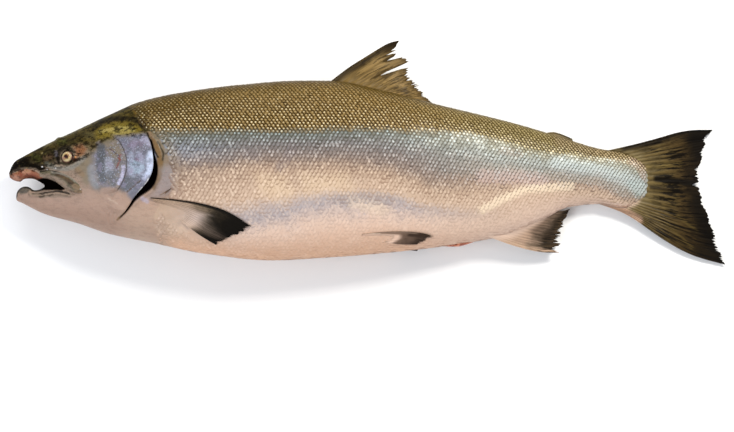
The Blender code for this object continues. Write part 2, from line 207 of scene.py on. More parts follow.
def linear(code):
    """An sRGB hex colour as linear red, green, blue and alpha."""
    parts = [int(code[i : i + 2], 16) / 255 for i in (1, 3, 5)]
    return tuple(p / 12.92 if p <= 0.04045 else ((p + 0.055) / 1.055) ** 2.4 for p in parts) + (1.0,)


def feed(tree, node, values):
    """Sets each input of a node to its value, or links it where the value is another node's output."""
    for key, value in values.items():
        if isinstance(value, bpy.types.NodeSocket):
            tree.links.new(value, node.inputs[key])
        else:
            node.inputs[key].default_value = value


def add(tree, kind, values=None, stops=(), **settings):
    """Adds a node with its settings and inputs. stops are a colour ramp's (place, colour) pairs."""
    made = tree.nodes.new(kind)
    for name, setting in settings.items():
        setattr(made, name, setting)
    feed(tree, made, values or {})
    for _ in stops[2:]:
        made.color_ramp.elements.new(1.0)
    for element, (place, tone) in zip(made.color_ramp.elements if stops else (), stops):
        element.position = place
        element.color = linear(tone) if isinstance(tone, str) else (tone, tone, tone, 1.0)
    return made


def new_material(name):
    """An empty material with a Principled shader, and its tree."""
    made = bpy.data.materials.new(name)
    made.use_nodes = True
    tree = made.node_tree
    return made, tree, tree.nodes["Principled BSDF"]


def area_light(name, place, size, watts, tone):
    lamp = bpy.data.lights.new(name, "AREA")
    lamp.shape = "DISK"
    lamp.size = size
    lamp.energy = watts
    lamp.color = linear(tone)[:3]
    made = bpy.data.objects.new(name, lamp)
    made.location = place
    made.rotation_euler = (-made.location).to_track_quat("-Z", "Y").to_euler()
    scene.collection.objects.link(made)


area_light("soft box", (0.95, 1.0, 1.25), 0.55, 34, "#fffcf4")
area_light("fill card", (-1.2, -0.5, 1.2), 1.2, 15, "#f4f8ff")
area_light("back card", (-0.4, 1.3, 0.8), 0.9, 8, "#ffffff")
room = bpy.data.worlds.new("bright room")
room.use_nodes = True
sky = room.node_tree.nodes["Background"]
feed(room.node_tree, sky, {"Color": linear("#fbfcff"), "Strength": 0.6})
scene.world = room

floor_mesh = bpy.data.meshes.new("table_top")
sheet = bmesh.new()
bmesh.ops.create_grid(sheet, x_segments=1, y_segments=1, size=3)
sheet.to_mesh(floor_mesh)
sheet.free()
table_top = bpy.data.objects.new("table_top", floor_mesh)
scene.collection.objects.link(table_top)
laminate, tree, shader = new_material("white laminate")
feed(tree, shader, {"Base Color": linear("#f4f4f4"), "Roughness": 0.7, "Specular IOR Level": 0.2})
floor_mesh.materials.append(laminate)
table_top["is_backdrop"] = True
print("lens", round(camera.data.lens, 1), "mm")

# %% [markdown]
# ## Small helpers for meshes
#
# Nearly every piece below is a grid of points that a formula places, closed at its rim or wrapped round a
# body. Two helpers turn such grids into meshes. Others measure how far a point is from a line drawn on the
# flank, because grooves, edges and patches of colour are all "so many millimetres from that line".

# %% Grids, distances and smooth outlines
def new_object(name, mesh):
    made = bpy.data.objects.new(name, mesh)
    scene.collection.objects.link(made)
    return made


def wrapped_grid(name, points):
    """A closed skin from rings of points (ring, place in ring, xyz), whose first and last rings shrink."""
    rings, around = points.shape[:2]
    number = np.arange(rings * around).reshape(rings, around)
    ahead, beside = number[1:], np.roll(number, -1, axis=1)
    faces = np.stack([number[:-1], beside[:-1], beside[1:], ahead], axis=-1).reshape(-1, 4).tolist()
    faces += [number[0][::-1].tolist(), number[-1].tolist()]
    mesh = bpy.data.meshes.new(name)
    mesh.from_pydata((points.reshape(-1, 3) * MM).tolist(), [], faces)
    mesh.shade_smooth()
    return mesh


def facing_out(mesh, weld=0.0):
    """Turns all faces of a closed mesh outwards, and first joins corners that lie within weld."""
    tidy = bmesh.new()
    tidy.from_mesh(mesh)
    if weld:
        bmesh.ops.remove_doubles(tidy, verts=tidy.verts, dist=weld)
    bmesh.ops.recalc_face_normals(tidy, faces=tidy.faces)
    tidy.to_mesh(mesh)
    tidy.free()
    return mesh


def slab(name, top, bottom):
    """A closed thin piece between two grids of points that share their shape."""
    rows, columns = top.shape[:2]
    upper = np.arange(rows * columns).reshape(rows, columns)
    lower = upper + rows * columns

    def quads(grid):
        return np.stack([grid[:-1, :-1], grid[1:, :-1], grid[1:, 1:], grid[:-1, 1:]], axis=-1).reshape(-1, 4)

    rim = np.concatenate([upper[0, :-1], upper[:-1, -1], upper[-1, :0:-1], upper[:0:-1, 0]])
    after = np.roll(rim, -1)
    wall = np.stack([rim, after, after + rows * columns, rim + rows * columns], axis=-1)
    faces = np.concatenate([quads(upper), quads(lower)[:, ::-1], wall]).tolist()
    mesh = bpy.data.meshes.new(name)
    mesh.from_pydata((np.concatenate([top.reshape(-1, 3), bottom.reshape(-1, 3)]) * MM).tolist(), [], faces)
    facing_out(mesh).shade_smooth()
    return mesh


def rounded(points, closed=False, turns=2):
    """A line with its corners cut a few times, which makes it a smooth curve."""
    points = [np.array(p, float) for p in points]
    for _ in range(turns):
        pairs = list(zip(points, points[1:] + points[:1] if closed else points[1:]))
        cut = [q for a, b in pairs for q in (a * 0.75 + b * 0.25, a * 0.25 + b * 0.75)]
        points = cut if closed else [points[0], *cut[1:-1], points[-1]]
    return [tuple(p) for p in points]


def line_distance(x, y, line):
    """How far points are from a line of points."""
    nearest = np.full(np.shape(x), np.inf)
    for (ax, ay), (bx, by) in zip(line[:-1], line[1:]):
        dx, dy = bx - ax, by - ay
        t = np.clip(((x - ax) * dx + (y - ay) * dy) / max(dx * dx + dy * dy, 1e-9), 0, 1)
        nearest = np.minimum(nearest, np.hypot(x - ax - t * dx, y - ay - t * dy))
    return nearest


def depth_inside(x, y, outline):
    """How far inside a closed outline points are. It is below 0 outside."""
    inside = np.zeros(np.shape(x), bool)
    for (ax, ay), (bx, by) in zip(outline, outline[1:] + outline[:1]):
        if ay != by:
            inside ^= ((ay > y) != (by > y)) & (x < ax + (y - ay) / (by - ay) * (bx - ax))
    return np.where(inside, 1, -1) * line_distance(x, y, list(outline) + [outline[0]])


def soft(value, low, high):
    """0 below low, 1 above high, and a smooth step between them."""
    t = np.clip((value - low) / (high - low), 0, 1)
    return t * t * (3 - 2 * t)


def on_line(line, shares):
    """Points at the given shares of a line's length, as an array (share, xy)."""
    line = np.array(line, float)
    length = np.concatenate([[0], np.cumsum(np.hypot(*np.diff(line, axis=0).T))])
    return np.stack([np.interp(np.asarray(shares) * length[-1], length, line[:, i]) for i in (0, 1)], axis=-1)


def lifted(x, y, side, lift):
    """Points over the flank, raised along its normal by lift."""
    step = 0.5
    slope_x = (flank_height(x + step, y, side) - flank_height(x - step, y, side)) / (2 * step)
    slope_y = (flank_height(x, y + step, side) - flank_height(x, y - step, side)) / (2 * step)
    normal = np.stack([-slope_x, -slope_y, np.ones_like(x)], axis=-1) * side
    normal /= np.linalg.norm(normal, axis=-1, keepdims=True)
    return np.stack([x, y, flank_height(x, y, side)], axis=-1) + normal * np.asarray(lift)[..., None]


def store(mesh, name, values):
    """Stores one number for each vertex, for a material to read."""
    layer = mesh.attributes.new(name, "FLOAT", "POINT")
    layer.data.foreach_set("value", np.asarray(values, np.float32).ravel())


def vertex_array(mesh):
    flat = np.empty(len(mesh.vertices) * 3, np.float32)
    mesh.vertices.foreach_get("co", flat)
    return flat.reshape(-1, 3).astype(float) / MM


def triangles(mesh):
    return sum(len(face.vertices) - 2 for face in mesh.polygons)


print("a rounded square has", len(rounded([(0, 0), (1, 0), (1, 1), (0, 1)], closed=True)), "points")

# %% [markdown]
# ## Lines drawn on the head
#
# The head carries most of what makes a salmon look like itself: the hooked open jaws, the long upper jaw
# bone that ends behind the eye, the thin black edge of the cheek plate, the gill cover with the dark slit
# behind it. Each is one line or outline on the flank, and the same lines serve the relief and the colours.

# %% Outlines of the head
MOUTH_GAP = rounded((
    (-338, -20), (-331, -22.4), (-327, -25.6), (-321, -27.1), (-319.6, -26.1), (-317.8, -24.5), (-314, -23.8),
    (-308, -24), (-302.7, -26.8), (-297.1, -30.5), (-301, -33.4), (-304.5, -34.7), (-309, -34.6),
    (-311.5, -32.3), (-314.8, -31), (-319, -31.6), (-322.7, -34.4), (-324.3, -38), (-324.5, -41.8),
    (-324, -45), (-329, -50), (-338, -50),
), closed=True)
MOUTH_POCKET = rounded((
    (-306, -26), (-300.7, -23.4), (-294.3, -24), (-287.8, -26.6), (-282.6, -29.2), (-277.6, -33.4),
    (-281.3, -35), (-287.8, -34.6), (-294.3, -35), (-300, -34.6), (-306, -33),
), closed=True)
GUM_CREASE = rounded((
    (-309, -38.2), (-300.7, -37.9), (-294.3, -36.6), (-287.8, -35.9), (-281.3, -36.2), (-274.8, -38.2),
))
UPPER_JAW_MIDDLE = (
    (-302, -19.6), (-293, -19.8), (-286.8, -21.8), (-281.5, -24.2), (-276.5, -27.5), (-272, -30.5),
    (-268, -33.5), (-263, -37),
)
UPPER_JAW_REACH = (3.0, 3.9, 4.5, 5.2, 6.0, 6.2, 5.0, 1.8)
CHEEK_EDGE = rounded((
    (-238, 14.5), (-234.5, 13.6), (-229.2, 11.2), (-225.6, 5.6), (-223.1, 0), (-220.9, -8), (-221, -14),
    (-222.2, -20), (-226.1, -30.1), (-231, -35.8), (-236, -39.5),
))
CHEEK_FRONT = rounded(((-254, 17), (-254, 8), (-253, -4), (-253, -16), (-253, -28), (-252, -38), (-249, -44)))
COVER_FRONT = rounded((
    (-238, 17), (-231, 12), (-226.5, 2), (-224.5, -9), (-225.5, -21), (-230, -33), (-237, -43), (-243, -52),
))
COVER_EDGE = rounded((
    (-226, 20.5), (-212, 20), (-205, 18), (-200.8, 13.5), (-198.2, 6), (-197, -2), (-196.3, -9),
    (-197, -16.5), (-199.3, -22.5), (-202.5, -27.5), (-206.8, -32.5), (-211, -37), (-215.3, -42.5),
    (-218.8, -48.5), (-223.5, -55), (-228, -60),
))
SLIT_REAR = rounded((
    (-203, 19), (-199.3, 14.2), (-196.7, 6), (-195.5, -2), (-193.9, -7), (-192.6, -13), (-192.7, -20),
    (-194.4, -26.8), (-197.2, -32), (-201.6, -35.9), (-206.9, -39), (-212.2, -42.8), (-216, -47.5),
    (-219.6, -52.3), (-224, -57), (-228, -60.6),
))
RIM_REAR = rounded((
    (-199, 19), (-192.7, 12), (-188.8, 2), (-187, -10), (-188, -22), (-192, -32), (-199, -39), (-206, -43),
))
GILL_SLIT = SLIT_REAR[4:] + rounded((
    (-225, -55), (-221, -48), (-216, -41), (-211.5, -34), (-206.5, -28), (-203, -22), (-201, -14),
    (-201, -5), (-202.5, 4), (-204, 12),
))
LOWER_COVER_LINE = rounded(((-207, -24.5), (-211, -28), (-215.5, -32), (-220.8, -36.7)))
EYE_AT = (-277.2, -3.8)
NOSTRILS = ((-297.5, -3.2), (-294.2, -2.2))
print("the gill slit's outline has", len(GILL_SLIT), "points")


HEAD_REAR = (  # (Y, X)
    (-90, -190), (-60, -196), (-46, -190), (-40, -181), (-22, -178), (-12, -180), (2, -185), (14, -192),
    (20, -199), (27, -208), (36, -214), (44, -221), (60, -228),
)


def past_head(x, y):
    """How far behind the head's bare skin a place is, in millimetres."""
    return x - through(HEAD_REAR, y)


def head_share(x, y):
    """1 on the head's bare skin, 0 where scales cover it."""
    return 1 - soft(past_head(x, y), -1.5, 1.5)


# %% [markdown]
# ## Relief of the head
#
# On a real fish the head is bare skin over bone plates. The skin dips at the orbit, the nostrils and the
# corner of the mouth, drops into the gill slit, and rises over the jaw. A single function returns that relief
# for any point, so both flanks get it and the parts that lie over the skin can follow it.

# %% Relief as a function of place
EYE_RADIUS = 6.0
SOCKET_DEPTH, POCKET_DEPTH, SLIT_DEPTH, NOSTRIL_DEPTH = 4.0, 9.0, 7.0, 1.8
ORBIT_RISE, RIM_RISE, GUM_RISE, BONE_RISE, NOSTRIL_RISE, CROWN_RISE = 0.6, 0.9, 0.7, 0.7, 0.5, 1.2
GUM_CREASE_DEPTH, COVER_LINE_DEPTH, THROAT_FOLD_HEIGHT = 0.6, 0.5, 0.16
BONE_LINE = ((-292, -13), (-278, -15), (-266, -10))  # the edge of the bone between the eye and the upper jaw
CROWN_BUMP_AT = (-285.2, 12.5)
LIP_ROUNDING, LIP_SHARE = 5.0, 0.42  # how far the lips' curl reaches, and what it leaves of their thickness


def ridge(distance, width):
    """1 at no distance, next to nothing from twice the width on."""
    return np.exp(-((distance / width) ** 2))


def throat_fold(x, y):
    """Waves across the folded skin that joins the two gill covers under the throat."""
    gone_by = line_distance(x, y, COVER_EDGE)
    here = soft(-y, 38, 48) * soft(gone_by, 0.5, 3) * (1 - soft(gone_by, 9, 20)) * soft(-x, 216, 226)
    return here * np.sin(gone_by * 1.9 + 0.12 * y)


def relief(x, y):
    """How far the skin of the head stands out from the plain body, in millimetres."""
    eye = np.hypot(x - EYE_AT[0], y - EYE_AT[1])
    lift = ORBIT_RISE * ridge(eye - 7.9, 1.2)
    lift -= SOCKET_DEPTH * (1 - soft(eye, 5.2, 6.6))
    lift -= POCKET_DEPTH * soft(depth_inside(x, y, MOUTH_POCKET), -0.3, 1.4)
    lift -= SLIT_DEPTH * soft(depth_inside(x, y, GILL_SLIT), 0.0, 1.3)
    lift += RIM_RISE * soft(depth_inside(x, y, SLIT_REAR + RIM_REAR[::-1]), -0.5, 2.0)
    lift += GUM_RISE * ridge(line_distance(x, y, GUM_CREASE) - 1.8, 1.1)
    lift -= GUM_CREASE_DEPTH * ridge(line_distance(x, y, GUM_CREASE), 0.7)
    lift += THROAT_FOLD_HEIGHT * throat_fold(x, y)
    lift -= COVER_LINE_DEPTH * ridge(line_distance(x, y, LOWER_COVER_LINE), 0.7)
    lift += BONE_RISE * ridge(line_distance(x, y, BONE_LINE), 1.6)
    for place in NOSTRILS:
        around = np.hypot(x - place[0], (y - place[1]) * 0.8)
        lift += NOSTRIL_RISE * ridge(around - 1.7, 0.6) - NOSTRIL_DEPTH * ridge(around, 0.8)
    lift += CROWN_RISE * ridge(np.hypot(x - CROWN_BUMP_AT[0], y - CROWN_BUMP_AT[1]), 2.6)
    return lift * (1 - soft(x, -182, -174))


def lip_thinning(x, y):
    """The jaws are round bars, so the skin curls in towards the fish's middle plane at the mouth's edge."""
    away = np.clip(-depth_inside(x, y, MOUTH_GAP) / LIP_ROUNDING, 0, 1)
    return LIP_SHARE + (1 - LIP_SHARE) * np.sqrt(np.clip(1 - (1 - away) ** 2, 0, 1))


print("relief in the gill slit:", round(float(relief(np.array([-196.0]), np.array([-25.0]))[0]), 1), "mm")

# %% [markdown]
# ## The skin
#
# The skin is two tubes of rings: a fine one for the head, and a coarse one for the trunk, which the scales
# will hide. On each ring the points are spread evenly by length round the ring, not by angle, so that the
# flat flanks get as many points as the sharp back. The two tubes overlap for a few millimetres under the
# scales.

# %% Build the rings
HEAD_AROUND, HEAD_STEP = 320, 0.64
TRUNK_AROUND, TRUNK_STEP = 176, 3.0
HEAD_END, TRUNK_START = -146.0, -153.0
JAW_HINGE = -290.0
END_LENGTH, END_RINGS = 6.0, 10  # the rings crowd together at the snout and at the tail's end


def flank_ring(x, side, count):
    """Points from the back to the belly of one flank's section at x, evenly spaced along the skin."""
    level, up, down, half = (float(v) for v in section(x))
    angle = np.linspace(math.pi / 2, -math.pi / 2, 400)
    y = level + np.sin(angle) * np.where(np.sin(angle) > 0, up, down)
    z = float(through(MIDDLE_HEIGHT, x)) + side * half * np.abs(np.cos(angle)) ** SECTION_FULLNESS
    z = np.maximum(z, TABLE_GAP)
    length = np.concatenate([[0], np.cumsum(np.hypot(np.diff(y), np.diff(z)))])
    even = np.linspace(0, length[-1], count)
    return np.interp(even, length, y), np.interp(even, length, z), length[-1]


def body_rings(places, around):
    rings = []
    for x in places:
        left_y, left_z, _ = flank_ring(x, 1, around // 2 + 1)
        right_y, right_z, _ = flank_ring(x, -1, around // 2 + 1)
        y = np.concatenate([left_y, right_y[-2:0:-1]])
        z = np.concatenate([left_z, right_z[-2:0:-1]])
        rings.append(np.stack([np.full(around, x), y, z], axis=-1))
    return np.array(rings)


def ring_normals(points):
    along = np.gradient(points, axis=0)
    round_it = np.roll(points, -1, axis=1) - np.roll(points, 1, axis=1)
    normal = np.cross(along, round_it)
    normal /= np.maximum(np.linalg.norm(normal, axis=-1, keepdims=True), 1e-9)
    above = np.sign(points[..., 2] - through(MIDDLE_HEIGHT, points[..., 0]))
    return normal * (above * np.sign(normal[..., 2] + 1e-9))[..., None]


def with_relief(points):
    """Pushes rings of points along their own normals by the relief, and rounds the lips."""
    x, y = points[..., 0], points[..., 1]
    moved = points + ring_normals(points) * relief(x, y)[..., None]
    middle = through(MIDDLE_HEIGHT, x)
    thin = np.where(x < JAW_HINGE, lip_thinning(x, y), 1)
    moved[..., 2] = middle + (moved[..., 2] - middle) * thin
    return moved


ends = (0.5 - 0.5 * np.cos(np.linspace(0, math.pi / 2, END_RINGS))) * END_LENGTH
snout = SNOUT + 0.02 + ends
head_places = np.concatenate([snout, np.arange(snout[-1] + HEAD_STEP, HEAD_END, HEAD_STEP)])
tail = BODY_END - 0.02 - ends[::-1]
trunk_places = np.concatenate([np.arange(TRUNK_START, tail[0] - 1, TRUNK_STEP), tail])
head_points = with_relief(body_rings(head_places, HEAD_AROUND))
trunk_points = body_rings(trunk_places, TRUNK_AROUND)
shrink = 0.3 * (1 - soft(trunk_places, HEAD_END - 3, HEAD_END + 6))
trunk_points -= ring_normals(trunk_points) * shrink[:, None, None]
print("head:", len(head_places), "rings of", HEAD_AROUND, "- trunk:", len(trunk_places), "of", TRUNK_AROUND)

# %% [markdown]
# A 2D curve with an extrusion is the simplest cutter for the mouth: it is filled and closed by itself. The
# cut's own walls take the cutter's material, which is the wet dark lining of the mouth.

# %% Cut the mouth right through
CUTTER_REACH = 90.0
CUTTER_WELD = 1e-6


def plain_mesh(made):
    """What an object's curve or modifiers make, as a mesh of its own."""
    bpy.context.view_layer.update()
    return bpy.data.meshes.new_from_object(made.evaluated_get(bpy.context.evaluated_depsgraph_get()))


def flat_cutter(name, outline, reach, material):
    curve = bpy.data.curves.new(name, "CURVE")
    curve.dimensions = "2D"
    curve.fill_mode = "BOTH"
    curve.extrude = reach * MM
    line = curve.splines.new("POLY")
    line.points.add(len(outline) - 1)
    line.use_cyclic_u = True
    for point, (x, y) in zip(line.points, outline):
        point.co = (x * MM, y * MM, 0, 1)
    guide = new_object(name, curve)
    mesh = plain_mesh(guide)
    bpy.data.objects.remove(guide)
    facing_out(mesh, CUTTER_WELD)
    mesh.materials.clear()
    mesh.materials.append(material)
    return new_object(name, mesh)


def baked(made):
    """Replaces an object's mesh by what its modifiers make, and drops them."""
    mesh = plain_mesh(made)
    made.modifiers.clear()
    made.data = mesh
    return made


salmon_skin, *skin_nodes = new_material("wet salmon skin")
mouth_lining, *lining_nodes = new_material("wet mouth lining")
head = new_object("head_skin", facing_out(wrapped_grid("head_skin", head_points)))
trunk = new_object("trunk_skin", facing_out(wrapped_grid("trunk_skin", trunk_points)))
for part in (head, trunk):
    part.data.materials.append(salmon_skin)
cutter = flat_cutter("mouth_gap", MOUTH_GAP, CUTTER_REACH, mouth_lining)
cut = head.modifiers.new("Mouth", "BOOLEAN")
cut.operation = "DIFFERENCE"
cut.solver = "MANIFOLD"
cut.material_mode = "TRANSFER"
cut.object = cutter
baked(head)
bpy.data.objects.remove(cutter)
print("head:", triangles(head.data), "triangles, trunk:", triangles(trunk.data))

# %% [markdown]
# ## Painting the head
#
# The head of a sea-run salmon is patchy: black snout, orange gum, olive crown, a brown flush behind the eye,
# blue silver cheeks, lilac gill covers with a yellow-olive cap. A painter would lay such patches one over
# the other with brushes of different softness, and that is how they are made here. Each line below is an
# area or a stroke in X and Y, and its colour goes into a colour attribute. A little noise bends every border.
# A few pale strokes are painted light: wet glints, and a light edge along the head's upper profile.

# %% Brushes
NOISE_CELLS = 32


def wobble(points, size, seed):
    """Smooth noise from -1 to 1 at points, with features about size millimetres apart."""
    chance = np.random.default_rng(seed).uniform(-1, 1, (NOISE_CELLS,) * 3)
    low = np.floor(points / size).astype(int)
    t = points / size - low
    t = t * t * (3 - 2 * t)
    total = 0.0
    for corner in np.ndindex(2, 2, 2):
        i = (low + corner) % NOISE_CELLS
        weight = np.prod(np.where(corner, t, 1 - t), axis=-1)
        total = total + weight * chance[i[..., 0], i[..., 1], i[..., 2]]
    return total


def area(tone, strength, softness, *outline):
    """A patch of colour inside an outline, which fades over softness on either side of it."""
    return "area", tone, strength, softness, outline


def stroke(tone, strength, width, *line):
    """A line of colour, or a dot where there is one point."""
    return "stroke", tone, strength, width, line if len(line) > 1 else line * 2


INK, SOOT, UMBER = "#0b0806", "#15110c", "#2a2413"
CROWN, NAPE, MOSS, BARK = "#4b401a", "#4c3f18", "#45461f", "#54402f"
OLIVE_GREY, JAW_OLIVE, CHEEK_OLIVE = "#6d6648", "#665e4a", "#857763"
CAP_OLIVE, CAP_YELLOW = "#7c6b2b", "#a69656"
GUM, GUM_PALE, BLOOD, DRIED_BLOOD, RUST = "#95604a", "#b98a74", "#83402f", "#3f1a10", "#8a5c3e"
AMBER, GOLD_GLINT, STRAW, COLLAR = "#dd9a5e", "#c2ae72", "#8d745a", "#7d6240"
SLATE, GRAPHITE, PEWTER, LID, ASH = "#4c4c44", "#58595c", "#8c867c", "#86808c", "#9a9499"
LIP, ROSE, SAND = "#94806f", "#b79886", "#cdb3a0"
CHEEK, GILL_COVER, GILL_LILAC, MAUVE = "#7a7471", "#797884", "#827d88", "#7a6277"
# The pale foil blue is the blue silver of cheeks and gill covers, partly painted glints; GLINT marks painted
# wet highlights.
LILAC, FOIL_BLUE_GLINT, FOIL_TEAL, GLINT = "#bfbad2", "#c2cbe2", "#98abba", "#e8e6e8"
